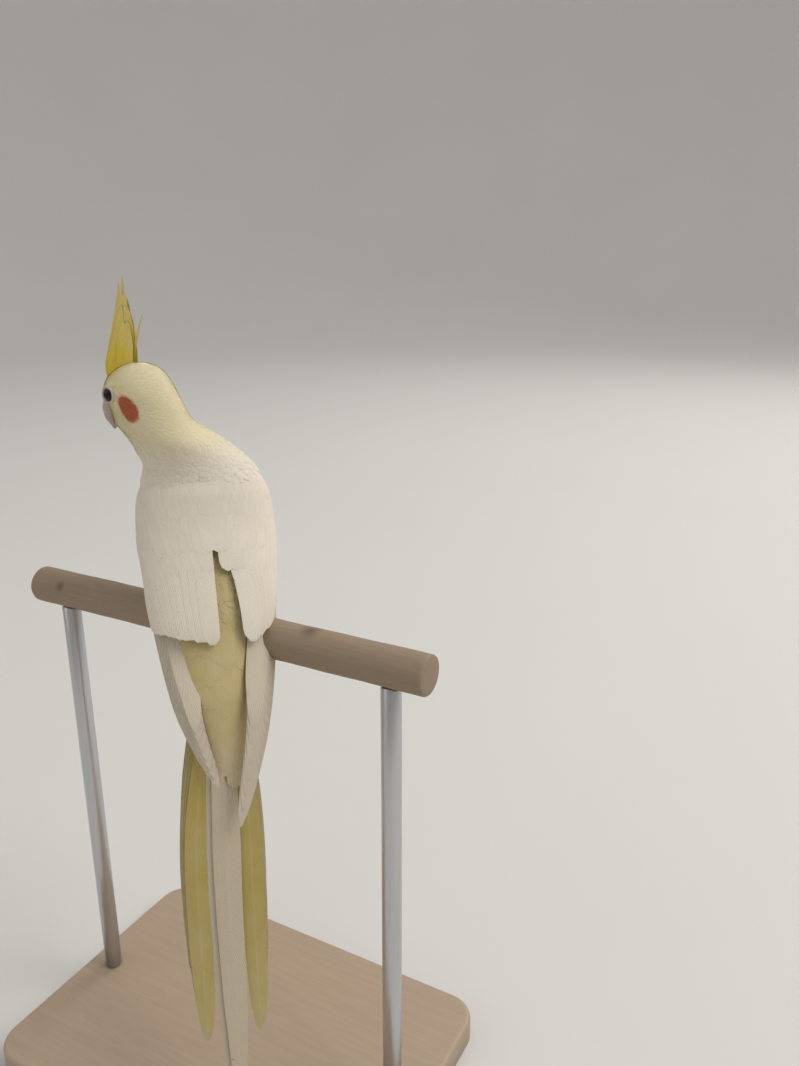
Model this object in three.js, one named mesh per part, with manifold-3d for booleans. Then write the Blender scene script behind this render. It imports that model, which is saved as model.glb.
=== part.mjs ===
// A life-size cockatiel on a cut length of wooden dowel, held by a plain display stand.
// Millimetres, +Z up. The origin is the centre of the base's underside, and the dowel lies along X.
import * as THREE from 'three';
import { mergeVertices } from 'three/addons/utils/BufferGeometryUtils.js';
import Module from 'manifold-3d';

const wasm = await Module();
wasm.setup();

// Driving sizes of the stand.
const GAP = 0.3;
const WELD = 1e-3;
const BASE = { length: 190, depth: 130, thick: 12, corner: 14 };
const PERCH = { radius: 7.9, length: 196, height: 219, chamfer: 0.8, sides: 28 };
const ROD = { radius: 4, x: 82, sides: 20 };

// The bird stands over the dowel with its body turned about the vertical.
const HEADING = THREE.MathUtils.degToRad(44);

// Rings of the body in the bird's own frame: x to its right, y to its front, z up from the dowel's axis.
// Each ring has a centre, a lean of its plane, a turn about its own axis and four half sizes.
const BODY_RINGS = [
  { at: [-2.0, -29, -27], lean: 10, turn: 0, side: 5.5, front: 3.5, back: 3.5 },
  { at: [-1.5, -26, -13], lean: 16, turn: 0, side: 9.5, front: 6.5, back: 5.5 },
  { at: [-1.0, -21.5, 1], lean: 26, turn: 0, side: 14, front: 6.5, back: 8 },
  { at: [-0.5, -14.5, 13], lean: 35, turn: 0, side: 18.5, front: 6.5, back: 11 },
  { at: [0, -6, 23], lean: 38, turn: 0, side: 22.6, front: 11, back: 13.5 },
  { at: [0, 2, 31], lean: 36, turn: 0, side: 24.6, front: 19.5, back: 16.5 },
  { at: [0, 8.5, 40], lean: 30, turn: 0, side: 25, front: 27.5, back: 18.5 },
  { at: [0, 12.5, 49], lean: 22, turn: 0, side: 23.8, front: 28.5, back: 18.8 },
  { at: [-0.2, 14, 57], lean: 12, turn: 0, side: 22, front: 26, back: 18 },
  { at: [-1.4, 13.5, 64], lean: 5, turn: 4, side: 21, front: 22, back: 16.8 },
  { at: [-5.4, 12, 70], lean: 2, turn: 12, side: 19.6, front: 19.5, back: 15.6 },
  { at: [-10.4, 10.5, 76], lean: 0, turn: 24, side: 17, front: 17.6, back: 15.8 },
  { at: [-16.2, 9.5, 82], lean: 0, turn: 38, side: 14.6, front: 15.8, back: 15.2 },
  { at: [-18.8, 9, 88], lean: 0, turn: 47, side: 13.2, front: 14.8, back: 15.0 },
  { at: [-20.8, 9, 94], lean: 0, turn: 51, side: 12.8, front: 14.4, back: 14.2 },
  { at: [-21.2, 9, 99], lean: 0, turn: 51, side: 11, front: 12.4, back: 12 },
  { at: [-21.0, 8.8, 102.8], lean: 0, turn: 51, side: 7.4, front: 8, back: 8.4 },
  { at: [-20.8, 8.6, 104.6], lean: 0, turn: 51, side: 3, front: 3.4, back: 3.6 },
];

// Where the body is parted, as positions along the rings, and how finely it is drawn.
const CUTS = { neck: 8.7, head: 11.2 };
const BODY = { steps: 38, sides: 26 };
const CUTTER = { steps: 20, sides: 16, grow: 0.5 };

// The head's own frame: forward, to its left and up from the middle of the skull.
const HEAD = { at: [-20.4, 9, 90], turn: 51 };
const EYE = { forward: 5.6, side: 10.6, up: 3.8, radius: 2.8, lid: 0.75 };

const FOOT = { spread: 9.5, toe: 1.5, tipToe: 1.0, pad: 2.6, tarsus: 1.7, top: 21 };

const COLOURS = {
  white: 0xece8dc,
  cream: 0xe9e2a8,
  yellow: 0xe6d24a,
  ochre: 0xd9c670,
  eye: 0x1a0f10,
  horn: 0xdccab4,
  foot: 0xd9a79a,
  dowel: 0xc79a7c,
  base: 0x8a6a4c,
  steel: 0xb8bcc0,
};

const deg = THREE.MathUtils.degToRad;
const vec = (x, y, z) => new THREE.Vector3(x, y, z);

// Closed meshes from rings of points, with a fan over each end.
function loft(rings) {
  const sides = rings[0].length;
  const points = rings.flat();
  const first = points.length;
  const faces = [];
  const middle = (ring) => ring.reduce((sum, p) => sum.add(p), vec(0, 0, 0)).divideScalar(sides);
  for (let k = 0; k + 1 < rings.length; k++) {
    for (let j = 0; j < sides; j++) {
      const a = k * sides + j;
      const b = k * sides + ((j + 1) % sides);
      faces.push([a, b, b + sides], [a, b + sides, a + sides]);
    }
  }
  points.push(middle(rings[0]), middle(rings.at(-1)));
  const last = (rings.length - 1) * sides;
  for (let j = 0; j < sides; j++) {
    const next = (j + 1) % sides;
    faces.push([first, next, j], [first + 1, last + j, last + next]);
  }
  return fromFaces(points, faces);
}

function fromFaces(points, faces) {
  const geometry = new THREE.BufferGeometry();
  geometry.setAttribute('position', new THREE.Float32BufferAttribute(points.flatMap((p) => p.toArray()), 3));
  geometry.setIndex(faces.flat());
  return geometry;
}

// Boolean joins and cuts on closed meshes. A mesh that faces inwards has its triangles turned over.
function solid(geometry) {
  const bare = geometry.clone();
  bare.deleteAttribute('normal');
  bare.deleteAttribute('uv');
  const merged = mergeVertices(bare, WELD);
  const vertProperties = new Float32Array(merged.attributes.position.array);
  const triVerts = new Uint32Array(merged.index.array);
  const made = new wasm.Manifold(new wasm.Mesh({ numProp: 3, vertProperties, triVerts }));
  if (made.volume() > 0) {
    return made;
  }
  return new wasm.Manifold(new wasm.Mesh({ numProp: 3, vertProperties, triVerts: triVerts.reverse() }));
}

const join = (solids) => solids.reduce((whole, piece) => whole.add(piece));

// The largest closed surface of a solid, without sealed hollows and loose scraps.
function largest(whole) {
  return whole.decompose().reduce((best, piece) => (piece.volume() > best.volume() ? piece : best));
}

function toGeometry(whole) {
  const mesh = whole.getMesh();
  const geometry = new THREE.BufferGeometry();
  geometry.setAttribute('position', new THREE.BufferAttribute(new Float32Array(mesh.vertProperties), 3));
  geometry.setIndex(new THREE.BufferAttribute(new Uint32Array(mesh.triVerts), 1));
  return geometry;
}

// Smooth values between the rings of a table, at any position along it.
function between(values, position) {
  const last = values.length - 1;
  const k = Math.min(Math.floor(position), last - 1);
  const t = position - k;
  const at = (i) => values[Math.min(Math.max(i, 0), last)];
  const [a, b, c, d] = [at(k - 1), at(k), at(k + 1), at(k + 2)];
  const slopeIn = (c - a) / 2;
  const slopeOut = (d - b) / 2;
  const t2 = t * t;
  const t3 = t2 * t;
  return (2 * t3 - 3 * t2 + 1) * b + (t3 - 2 * t2 + t) * slopeIn + (3 * t2 - 2 * t3) * c + (t3 - t2) * slopeOut;
}

function ringAt(table, position) {
  const value = (read) => between(table.map(read), position);
  return {
    at: vec(value((r) => r.at[0]), value((r) => r.at[1]), value((r) => r.at[2])),
    lean: deg(value((r) => r.lean)),
    turn: deg(value((r) => r.turn)),
    side: value((r) => r.side),
    front: value((r) => r.front),
    back: value((r) => r.back),
  };
}

// The point at one angle of a ring, where 0 is the bird's right, 90 its front and 270 its back.
function onRing(ring, angle, grow = 0) {
  const across = Math.cos(angle) * (ring.side + grow);
  const along = Math.sin(angle) * ((Math.sin(angle) > 0 ? ring.front : ring.back) + grow);
  const front = vec(0, Math.cos(ring.lean), -Math.sin(ring.lean));
  const axis = vec(0, Math.sin(ring.lean), Math.cos(ring.lean));
  return vec(across, 0, 0)
    .addScaledVector(front, along)
    .applyAxisAngle(axis, ring.turn)
    .add(ring.at);
}

function ringPoints(table, position, sides, grow = 0) {
  const ring = ringAt(table, position);
  return Array.from({ length: sides }, (_, j) => onRing(ring, (2 * Math.PI * j) / sides, grow));
}

function bodySolid(grow = 0, { steps, sides } = BODY) {
  const rings = Array.from({ length: steps + 1 }, (_, k) =>
    ringPoints(BODY_RINGS, ((BODY_RINGS.length - 1) * k) / steps, sides, grow));
  return solid(loft(rings));
}

// The head's frame as a matrix, from forward, left and up to the bird's frame.
function headFrame() {
  const turn = deg(HEAD.turn);
  const forward = vec(-Math.sin(turn), Math.cos(turn), 0);
  const left = vec(-Math.cos(turn), -Math.sin(turn), 0);
  return new THREE.Matrix4().makeBasis(forward, left, vec(0, 0, 1)).setPosition(...HEAD.at);
}

function tube(points, radii, sides) {
  const curve = new THREE.CatmullRomCurve3(points);
  const steps = radii.length - 1;
  const frames = curve.computeFrenetFrames(steps, false);
  const rings = radii.map((radius, k) => {
    const centre = curve.getPointAt(k / steps);
    return Array.from({ length: sides }, (_, j) => {
      const angle = (2 * Math.PI * j) / sides;
      return centre.clone()
        .addScaledVector(frames.normals[k], Math.cos(angle) * radius)
        .addScaledVector(frames.binormals[k], Math.sin(angle) * radius);
    });
  });
  return loft(rings);
}

// A tube of oval section, wide along one axis and deep along the other.
function ovalTube(points, wide, deep, wideAxis, { steps, sides }) {
  const line = new THREE.CatmullRomCurve3(points);
  const rings = Array.from({ length: steps + 1 }, (_, k) => {
    const t = k / steps;
    const deepAxis = new THREE.Vector3().crossVectors(line.getTangentAt(t), wideAxis).normalize();
    const half = [between(wide, t * (wide.length - 1)), between(deep, t * (deep.length - 1))];
    return Array.from({ length: sides }, (_, j) => {
      const angle = (2 * Math.PI * j) / sides;
      return line.getPointAt(t)
        .addScaledVector(wideAxis, Math.cos(angle) * half[0])
        .addScaledVector(deepAxis, Math.sin(angle) * half[1]);
    });
  });
  return loft(rings);
}

// The dowel, and the same grown by a gap for cutting what touches it.
function perchSolid(grow = 0) {
  const half = PERCH.length / 2 + grow;
  const radius = PERCH.radius + grow;
  const profile = [
    new THREE.Vector2(0, -half),
    new THREE.Vector2(radius - PERCH.chamfer, -half),
    new THREE.Vector2(radius, -half + PERCH.chamfer),
    new THREE.Vector2(radius, half - PERCH.chamfer),
    new THREE.Vector2(radius - PERCH.chamfer, half),
    new THREE.Vector2(0, half),
  ];
  return solid(new THREE.LatheGeometry(profile, PERCH.sides).rotateZ(-Math.PI / 2));
}

const perchInBirdFrame = () => solid(toGeometry(perchSolid(GAP)).rotateZ(-HEADING));

// Everything above or below a cut across the body's rings, short of it by half a gap.
function halfSpace(position, above) {
  const ring = ringAt(BODY_RINGS, position);
  const size = 400;
  const shift = (above ? 1 : -1) * (size / 2 + GAP / 2);
  const box = new THREE.BoxGeometry(size, size, size).translate(0, 0, shift).rotateX(-ring.lean);
  return solid(box.translate(...ring.at.toArray()));
}

const whole = bodySolid();
const torso = largest(whole.intersect(halfSpace(CUTS.neck, false)).subtract(perchInBirdFrame()));
const neck = largest(whole.intersect(halfSpace(CUTS.neck, true)).intersect(halfSpace(CUTS.head, false)));

// Pieces of the head are written as forward, to its left and up from the middle of the skull.
function inHead(geometry) {
  return solid(geometry.applyMatrix4(headFrame()));
}

function eyeBall(side, grow = 0) {
  const ball = new THREE.SphereGeometry(EYE.radius + grow, 14, 9);
  return inHead(ball.translate(EYE.forward, side * EYE.side, EYE.up));
}

// A raised ring of bare lid round each eye.
function lid(side) {
  const ring = new THREE.TorusGeometry(EYE.radius + 0.25, EYE.lid, 6, 16).rotateX(Math.PI / 2);
  ring.rotateZ(-side * deg(14));
  return inHead(ring.translate(EYE.forward + 0.3, side * (EYE.side + 1.05), EYE.up));
}

// The cere is the soft swelling over the bill, with a nostril on each side.
const CERE = { at: [13.1, 0, 2.6], size: [2.0, 3.7, 1.8], nostril: 0.6 };

function cere(grow = 0) {
  const [x, y, z] = CERE.size.map((size) => size + grow);
  return inHead(new THREE.SphereGeometry(1, 12, 8).scale(x, y, z).translate(...CERE.at));
}

function nostril(side) {
  const pit = new THREE.SphereGeometry(CERE.nostril, 7, 5);
  return inHead(pit.translate(CERE.at[0] + 1.5, side * 1.7, CERE.at[2] + 0.7));
}

// The bill: a hooked upper half over a short lower half, each an upright oval tapering to its tip.
const BILL = {
  upper: { line: [[7, 0.6], [11.6, 0.4], [14.6, -2.2], [15.4, -6.4], [14.2, -11.4]], side: [4.3, 4.2, 3.7, 2.6, 0.5],
    deep: [4.4, 4.3, 3.4, 2.3, 0.5] },
  lower: { line: [[6.5, -6.6], [10.2, -7.8], [12.2, -9.8]], side: [3.6, 3.3, 2.2], deep: [3, 2.5, 1.2] },
};

function billHalf(shape, grow = 0) {
  const line = shape.line.map(([forward, up]) => vec(forward, 0, up));
  const wide = shape.side.map((size) => size + grow);
  const deep = shape.deep.map((size) => size + grow);
  return inHead(ovalTube(line, wide, deep, vec(0, 1, 0), { steps: 8, sides: 12 }));
}

const grownBody = bodySolid(GAP);
const coarseBody = bodySolid(GAP + CUTTER.grow, CUTTER);
const grownHead = join([grownBody, cere(GAP)]);
const eyes = { left: eyeBall(1), right: eyeBall(-1) };
const head = largest(join([whole.intersect(halfSpace(CUTS.head, true)), lid(1), lid(-1), cere()])
  .subtract(join([eyeBall(1, GAP), eyeBall(-1, GAP), nostril(1), nostril(-1)])));
const billUpper = largest(billHalf(BILL.upper).subtract(grownHead));
const billLower = largest(billHalf(BILL.lower).subtract(grownHead).subtract(billHalf(BILL.upper, GAP)));

// A vane is a thin, slightly arched blade: a middle line with a half width and a roll at each station.
const VANE = { thick: 0.6, arch: 0.12 };

function vane(stations) {
  const rings = stations.map(({ at, across, normal, half, roll = 0, thick = VANE.thick }) => {
    const side = across.clone().multiplyScalar(Math.cos(roll)).addScaledVector(normal, Math.sin(roll));
    const up = normal.clone().multiplyScalar(Math.cos(roll)).addScaledVector(across, -Math.sin(roll));
    const point = (s, lift) => at.clone().addScaledVector(side, s * half).addScaledVector(up, lift);
    const crown = VANE.arch * half;
    return [point(-1, thick / 2), point(0, crown + thick / 2), point(1, thick / 2),
      point(1, -thick / 2), point(0, crown - thick / 2), point(-1, -thick / 2)];
  });
  const faces = [];
  const quad = (a, b, c, d, flip) => faces.push(...(flip ? [[a, b, d], [b, c, d]] : [[a, b, c], [a, c, d]]));
  for (let k = 0; k + 1 < rings.length; k++) {
    const [low, high] = [6 * k, 6 * (k + 1)];
    for (let j = 0; j < 6; j++) {
      const next = (j + 1) % 6;
      quad(low + j, low + next, high + next, high + j, j === 3 || j === 4);
    }
  }
  const last = 6 * (rings.length - 1);
  for (const [start, flip] of [[0, true], [last, false]]) {
    for (const [a, b, c] of [[0, 1, 4], [0, 4, 5], [1, 2, 3], [1, 3, 4]]) {
      faces.push(flip ? [start + c, start + b, start + a] : [start + a, start + b, start + c]);
    }
  }
  return solid(fromFaces(rings.flat(), faces));
}

// How wide a vane is along its length, as a share of its full half width.
const LEAF = {
  blunt: [0.65, 0.95, 1, 0.85, 0.3],
  pointed: [0.6, 0.95, 0.95, 0.6, 0.14],
  long: [0.6, 1, 0.88, 0.66, 0.14],
};
const LEAF_AT = [0, 0.33, 0.7, 0.92, 1];

// A vane whose middle line follows a function of t from 0 at the root to 1 at the tip.
function vaneAlong(middle, acrossAt, half, leaf, roll = 0) {
  const step = 0.02;
  return vane(LEAF_AT.map((t, k) => {
    const at = middle(t);
    const along = middle(Math.min(t + step, 1)).sub(middle(Math.max(t - step, 0))).normalize();
    const normal = new THREE.Vector3().crossVectors(along, acrossAt(t)).normalize();
    const across = new THREE.Vector3().crossVectors(normal, along).normalize();
    return { at, across, normal, half: half * leaf[k], roll };
  }));
}

// The folded wing lies along rings of its own, a little outside the body and down over the tail's root.
const WING_RINGS = [
  { at: [-3, -42, -70], lean: 6, turn: 0, side: 9, front: 2, back: 2.5 },
  { at: [-2.5, -37.5, -42], lean: 8, turn: 0, side: 15.5, front: 3, back: 4 },
  { at: [-1.8, -30, -16], lean: 14, turn: 0, side: 20, front: 8, back: 8.5 },
  { at: [-1.4, -22.5, 2], lean: 25, turn: 0, side: 24, front: 12, back: 13 },
  { at: [-0.6, -13.5, 15], lean: 34, turn: 0, side: 26.6, front: 14, back: 15 },
  { at: [0, -5, 25], lean: 37, turn: 0, side: 27.4, front: 19, back: 17 },
  { at: [0, 4, 34], lean: 34, turn: 0, side: 28, front: 25, back: 19.5 },
  { at: [0, 10, 43], lean: 28, turn: 0, side: 27.5, front: 29, back: 21 },
  { at: [0, 13, 52], lean: 18, turn: 0, side: 26.2, front: 29, back: 20.5 },
  { at: [-0.2, 14, 59], lean: 10, turn: 0, side: 23.6, front: 26, back: 19 },
  { at: [-0.8, 14, 65], lean: 5, turn: 0, side: 21, front: 21, back: 16.5 },
];

// The shoulder and small coverts are one smooth mass, from its lower edge up to the shoulder.
const MASS = { from: 5.2, to: 9.7, steps: 9, sides: 6, deep: 5.2, shelf: 6.0 };

// Angles of the wing's front and back edges at a position along its rings, on the left side.
function wingEdges(position) {
  const front = THREE.MathUtils.mapLinear(position, 4, 9, 178, 140);
  const back = THREE.MathUtils.mapLinear(Math.min(position, 9), 4, 9, 266, 246);
  return { front, back };
}

const mirror = (angle, side) => deg(side < 0 ? angle : 180 - angle);

function onWing(position, angle, side, lift = 0) {
  return onRing(ringAt(WING_RINGS, position), mirror(angle, side), lift);
}

function wingMass(side) {
  const rings = Array.from({ length: MASS.steps + 1 }, (_, k) => {
    const t = k / MASS.steps;
    const position = THREE.MathUtils.lerp(MASS.from, MASS.to, t);
    const { front, back } = wingEdges(position);
    const outer = [];
    const inner = [];
    for (let j = 0; j <= MASS.sides; j++) {
      const v = j / MASS.sides;
      const angle = THREE.MathUtils.lerp(front, back, v);
      const step = THREE.MathUtils.smoothstep(position, MASS.shelf, MASS.shelf + 0.7) - 1;
      const sink = 3 * step - 2.2 * Math.pow(Math.abs(2 * v - 1), 4) - 1.6 * Math.pow(t, 6);
      outer.push(onWing(position, angle, side, sink));
      inner.unshift(onWing(position, angle, side, -MASS.deep));
    }
    return [...outer, ...inner];
  });
  return solid(loft(rings));
}

// Rows of wing feathers: how many, the positions of roots and tips at the front and back of the row,
// the angles they spread over at root and tip, their half width, height over the wing's rings, roll,
// and how much further the right wing's row stays from the back's midline at its tips.
const WING_ROWS = [
  { count: 6, root: [7.0, 7.2], tip: [4.8, 5.0], rootAngle: [160, 240], tipAngle: [168, 252], half: 6.4, lift: -0.3,
    roll: 0.13, open: 6 },
  { count: 6, root: [5.9, 6.1], tip: [2.95, 2.75], rootAngle: [172, 248], tipAngle: [190, 264], half: 5.8, lift: -2.9,
    roll: 0.16, open: 36 },
];

const seeded = (n) => {
  const x = Math.sin(n * 127.1 + 311.7) * 43758.5453;
  return x - Math.floor(x);
};

const spreadOver = ([from, to], v) => THREE.MathUtils.lerp(from, to, v);

function wingRow(row, side, rowIndex) {
  return Array.from({ length: row.count }, (_, k) => {
    const v = k / (row.count - 1);
    const vary = seeded(rowIndex * 20 + k + (side > 0 ? 100 : 0)) - 0.5;
    const root = spreadOver(row.root, v);
    const tip = spreadOver(row.tip, v) + 0.12 * vary;
    const tipAngle = spreadOver(row.tipAngle, v) - (side > 0 ? row.open * v : 0);
    const angleAt = (t) => THREE.MathUtils.lerp(spreadOver(row.rootAngle, v), tipAngle, t);
    const middle = (t) => onWing(
      THREE.MathUtils.lerp(root, tip, t),
      angleAt(t),
      side, row.lift - 2.2 * Math.pow(1 - Math.min(1, t / 0.3), 2));
    const across = (t) => {
      const angle = angleAt(t);
      const position = THREE.MathUtils.lerp(root, tip, t);
      return onWing(position, angle + 4, side).sub(onWing(position, angle - 4, side)).multiplyScalar(-side);
    };
    return vaneAlong(middle, across, row.half, LEAF.blunt, side * row.roll);
  });
}

// Folded primaries lie in a narrow stack that runs inwards over the tail's root, the longest outermost.
const PRIMARIES = { count: 5, root: [5.5, 5.8], rootAngle: [186, 212], half: 4.6, layer: 0.95, sink: -4 };
const PRIMARY_PATHS = {
  left: { bend: [-15.8, -29, -16], tip: [0, -42, -62], inner: [-12.5, -29.5, -12], innerTip: [-11.5, -35, -28] },
  right: { bend: [14.4, -33, -18], tip: [2.4, -45.5, -65], inner: [12, -32.5, -14], innerTip: [10.5, -37, -30] },
};

function primaries(side) {
  const path = side < 0 ? PRIMARY_PATHS.left : PRIMARY_PATHS.right;
  return Array.from({ length: PRIMARIES.count }, (_, k) => {
    const v = k / (PRIMARIES.count - 1);
    const root = onWing(spreadOver(PRIMARIES.root, v), spreadOver(PRIMARIES.rootAngle, v), side, PRIMARIES.sink);
    const bend = vec(...path.bend).lerp(vec(...path.inner), v);
    const tip = vec(...path.tip).lerp(vec(...path.innerTip), v);
    const curve = new THREE.CatmullRomCurve3([root, bend, tip]);
    const layer = (t) => vec(0, -PRIMARIES.layer * k * Math.min(1, 3 * t), 0);
    const middle = (t) => curve.getPoint(t).add(layer(t));
    const across = (t) => vec(1, THREE.MathUtils.lerp(side * 0.8, side * 0.1, Math.min(1, 1.6 * t)), 0);
    return vaneAlong(middle, across, PRIMARIES.half, LEAF.pointed);
  });
}

// The wings' coverts meet over the back at this line, with half a gap on each side of it.
const MIDLINE = 0.5;

function ownSide(side) {
  const size = 300;
  const box = new THREE.BoxGeometry(size, size, size);
  return solid(box.translate(MIDLINE + side * (size / 2 + GAP / 2 + 0.02), 0, 0));
}

function wing(side) {
  const pieces = [wingMass(side)];
  WING_ROWS.forEach((row, k) => pieces.push(...wingRow(row, side, k)));
  const folded = join(pieces).intersect(ownSide(side));
  return largest(join([folded, ...primaries(side)]).subtract(coarseBody).subtract(perchInBirdFrame()));
}

const wings = { left: wing(-1), right: wing(1) };

// Crest feathers in a row along the crown, the longest in the middle, with a shorter row on each side.
// Each is its root's forward place, its tip's forward and upward place and its half width.
const CREST = {
  middle: [[12.4, 8.6, 29, 2.2], [10.6, 7, 35, 2.3], [8.6, 5.4, 41, 2.4], [6.4, 4, 46.3, 2.4], [4.2, 3.4, 40, 2.3],
    [2.2, 1.4, 33, 2.1], [0.4, -3.6, 33, 1.2]],
  side: [[10, 7.6, 26, 2], [6.6, 5, 30, 2.1], [3.2, 1.6, 24, 2]],
};

function crestFeather([rootForward, tipForward, tipUp, half], side, k) {
  const rootUp = 12.5 - 0.035 * rootForward * rootForward;
  const lean = side * 2.6 + (k % 2 ? 0.5 : -0.5);
  const swell = rootForward > 8 ? 1.6 : 0.4;
  const curve = new THREE.CatmullRomCurve3([
    vec(rootForward, lean, rootUp - 2),
    vec(THREE.MathUtils.lerp(rootForward, tipForward, 0.3) + swell, lean * 0.9, THREE.MathUtils.lerp(rootUp, tipUp, 0.35)),
    vec(tipForward, lean * 0.4, tipUp),
  ]);
  const flat = (t) => vec(1, side ? side * 0.5 : (k % 2 ? 0.35 : -0.35), -0.1 * t);
  return vaneAlong((t) => curve.getPoint(t), flat, half, LEAF.pointed, 0);
}

function crestSolid() {
  const core = tube([vec(6.4, 0, 5), vec(6.6, 0, 15), vec(5.4, 0, 25)], [6.2, 5.6, 4.2, 2.6, 1.2], 10);
  const pieces = [solid(core)];
  CREST.middle.forEach((feather, k) => pieces.push(crestFeather(feather, 0, k)));
  CREST.side.forEach((feather, k) => pieces.push(crestFeather(feather, 1, k), crestFeather(feather, -1, k)));
  const placed = toGeometry(join(pieces)).applyMatrix4(headFrame());
  return largest(solid(placed).subtract(grownHead));
}

const crest = crestSolid();

// Tail feathers in pairs, from the long middle pair out to the short outer ones.
const TAIL_ROOT = { up: -19, spread: 1.1 };
const TAIL_PAIRS = [
  { tip: -190, out: 1.2, half: 5.6, depth: 0 },
  { tip: -159, out: 10.6, half: 4.6, depth: 1.5 },
  { tip: -150, out: 11.0, half: 4.8, depth: 2.6 },
  { tip: -140, out: 11.8, half: 4.8, depth: 3.7 },
  { tip: -124, out: 12.2, half: 4.6, depth: 4.8 },
  { tip: -104, out: 12.4, half: 4.2, depth: 5.9 },
];
const TAIL_LINE = new THREE.CatmullRomCurve3([
  vec(-2.2, -30, -16), vec(-3.2, -36, -50), vec(-5, -44, -98), vec(-5.4, -50.5, -146), vec(-6, -56, -192),
]);

function tailFeather(pair, k, side) {
  const [top, bottom] = [TAIL_ROOT.up - 3, pair.tip];
  const middle = (t) => {
    const z = THREE.MathUtils.lerp(top, bottom, t);
    const point = TAIL_LINE.getPoint((z + 16) / -176);
    const fan = 1 - Math.pow(1 - Math.min(1, (TAIL_ROOT.up - z) / 70), 2);
    const out = THREE.MathUtils.lerp(TAIL_ROOT.spread * (k + 0.6), pair.out, fan);
    const lift = k === 0 ? (side > 0 ? 0 : 0.9) : pair.depth;
    return vec(point.x + side * out, point.y + lift, z);
  };
  return vaneAlong(middle, () => vec(1, side * 0.06, 0), pair.half, k === 0 ? LEAF.long : LEAF.blunt, 0);
}

function tail() {
  const core = ovalTube([vec(-1.8, -27.5, -12), vec(-2.2, -31.5, -34), vec(-3, -36.5, -62)],
    [11, 10.6, 9.4, 6.4, 3], [7, 6.4, 4.8, 3.2, 1.2], vec(1, 0, 0), { steps: 6, sides: 16 });
  const pieces = [solid(core)];
  TAIL_PAIRS.forEach((pair, k) => {
    pieces.push(tailFeather(pair, k, -1), tailFeather(pair, k, 1));
  });
  return largest(join(pieces).subtract(grownBody).subtract(wings.left).subtract(wings.right));
}

const tailSolid = tail();

// The display stand, with z counted from the dowel's axis.
function baseSolid() {
  const { length, depth, thick, corner } = BASE;
  const [x, y] = [length / 2 - corner, depth / 2 - corner];
  const outline = new THREE.Shape();
  outline.absarc(x, y, corner, 0, Math.PI / 2);
  outline.absarc(-x, y, corner, Math.PI / 2, Math.PI);
  outline.absarc(-x, -y, corner, Math.PI, Math.PI * 1.5);
  outline.absarc(x, -y, corner, Math.PI * 1.5, Math.PI * 2);
  const plate = new THREE.ExtrudeGeometry(outline, { depth: thick, bevelEnabled: false, curveSegments: 8 });
  return solid(plate.translate(0, 0, -PERCH.height));
}

function rodSolid(side) {
  const bottom = BASE.thick + GAP - PERCH.height;
  const rod = new THREE.CylinderGeometry(ROD.radius, ROD.radius, -bottom, ROD.sides).rotateX(Math.PI / 2);
  return largest(solid(rod.translate(side * ROD.x, 0, bottom / 2)).subtract(perchSolid(GAP)));
}

// Each foot grips the dowel with two toes forward and two back.
const TOES = [
  { turn: -13, arc: 118, forward: true },
  { turn: 13, arc: 108, forward: true },
  { turn: -15, arc: 112, forward: false },
  { turn: 15, arc: 92, forward: false },
];

function toeSolid(x, toe) {
  const sense = toe.forward ? 1 : -1;
  const steps = 8;
  const sides = 6;
  const rings = Array.from({ length: steps + 1 }, (_, k) => {
    const t = k / steps;
    const claw = Math.max(0, (t - 0.74) / 0.26);
    const radius = THREE.MathUtils.lerp(FOOT.toe, FOOT.tipToe, t) * (1 - 0.8 * claw);
    const swing = deg(90 - sense * (toe.arc * t - 6));
    const reach = PERCH.radius + GAP + radius + 0.05 + 0.5 * claw * claw;
    const shift = x + Math.tan(deg(toe.turn)) * PERCH.radius * deg(toe.arc) * t;
    return Array.from({ length: sides }, (_, j) => {
      const angle = (2 * Math.PI * j) / sides;
      const out = reach + Math.sin(angle) * radius;
      return vec(shift + Math.cos(angle) * radius * sense, Math.cos(swing) * out, Math.sin(swing) * out);
    });
  });
  return solid(loft(rings));
}

function footSolid(side) {
  const x = side * FOOT.spread;
  const ground = PERCH.radius + GAP + FOOT.toe;
  const ankle = vec(x, 0, ground);
  const knee = vec(x * 0.96, side * 1.5, FOOT.top);
  const shank = tube([ankle, ankle.clone().lerp(knee, 0.5), knee],
    [FOOT.pad - 0.7, FOOT.tarsus + 0.2, FOOT.tarsus, FOOT.tarsus], 8);
  const pad = new THREE.SphereGeometry(FOOT.pad, 10, 6).scale(1, 1.15, 0.8);
  const pieces = TOES.map((toe) => toeSolid(x, toe));
  pieces.push(solid(shank), solid(pad.translate(x, 0, ground + 0.3)));
  const foot = join(pieces).subtract(perchSolid(GAP));
  return solid(toGeometry(largest(foot)).rotateZ(-HEADING));
}

// The feathered thigh, from the belly down to the bare shank.
function thighSolid(side, grow = 0) {
  const foot = vec(side * FOOT.spread * 0.97, 0, 0).applyAxisAngle(vec(0, 0, 1), -HEADING);
  const low = vec(foot.x + side, foot.y + 1, 12.5);
  const high = vec(foot.x + side * 4, foot.y + 9, 27);
  return solid(tube([low, low.clone().lerp(high, 0.5), high], [2.8, 4.6, 6.4, 7.4, 7, 3].map((radius) => radius + grow), 14));
}

function legOf(side) {
  const thigh = largest(thighSolid(side).subtract(grownBody).subtract(perchInBirdFrame()));
  const foot = largest(footSolid(side).subtract(grownBody).subtract(thighSolid(side, GAP)));
  return { thigh, foot };
}

const legs = { left: legOf(-1), right: legOf(1) };

// The bird is built about its own axes, then turned over the dowel and lifted with it.
const lifted = new THREE.Matrix4().makeTranslation(0, 0, PERCH.height);
const birdToPart = lifted.clone().multiply(new THREE.Matrix4().makeRotationZ(HEADING));
const bird = new THREE.Group();
const stand = new THREE.Group();

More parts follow.
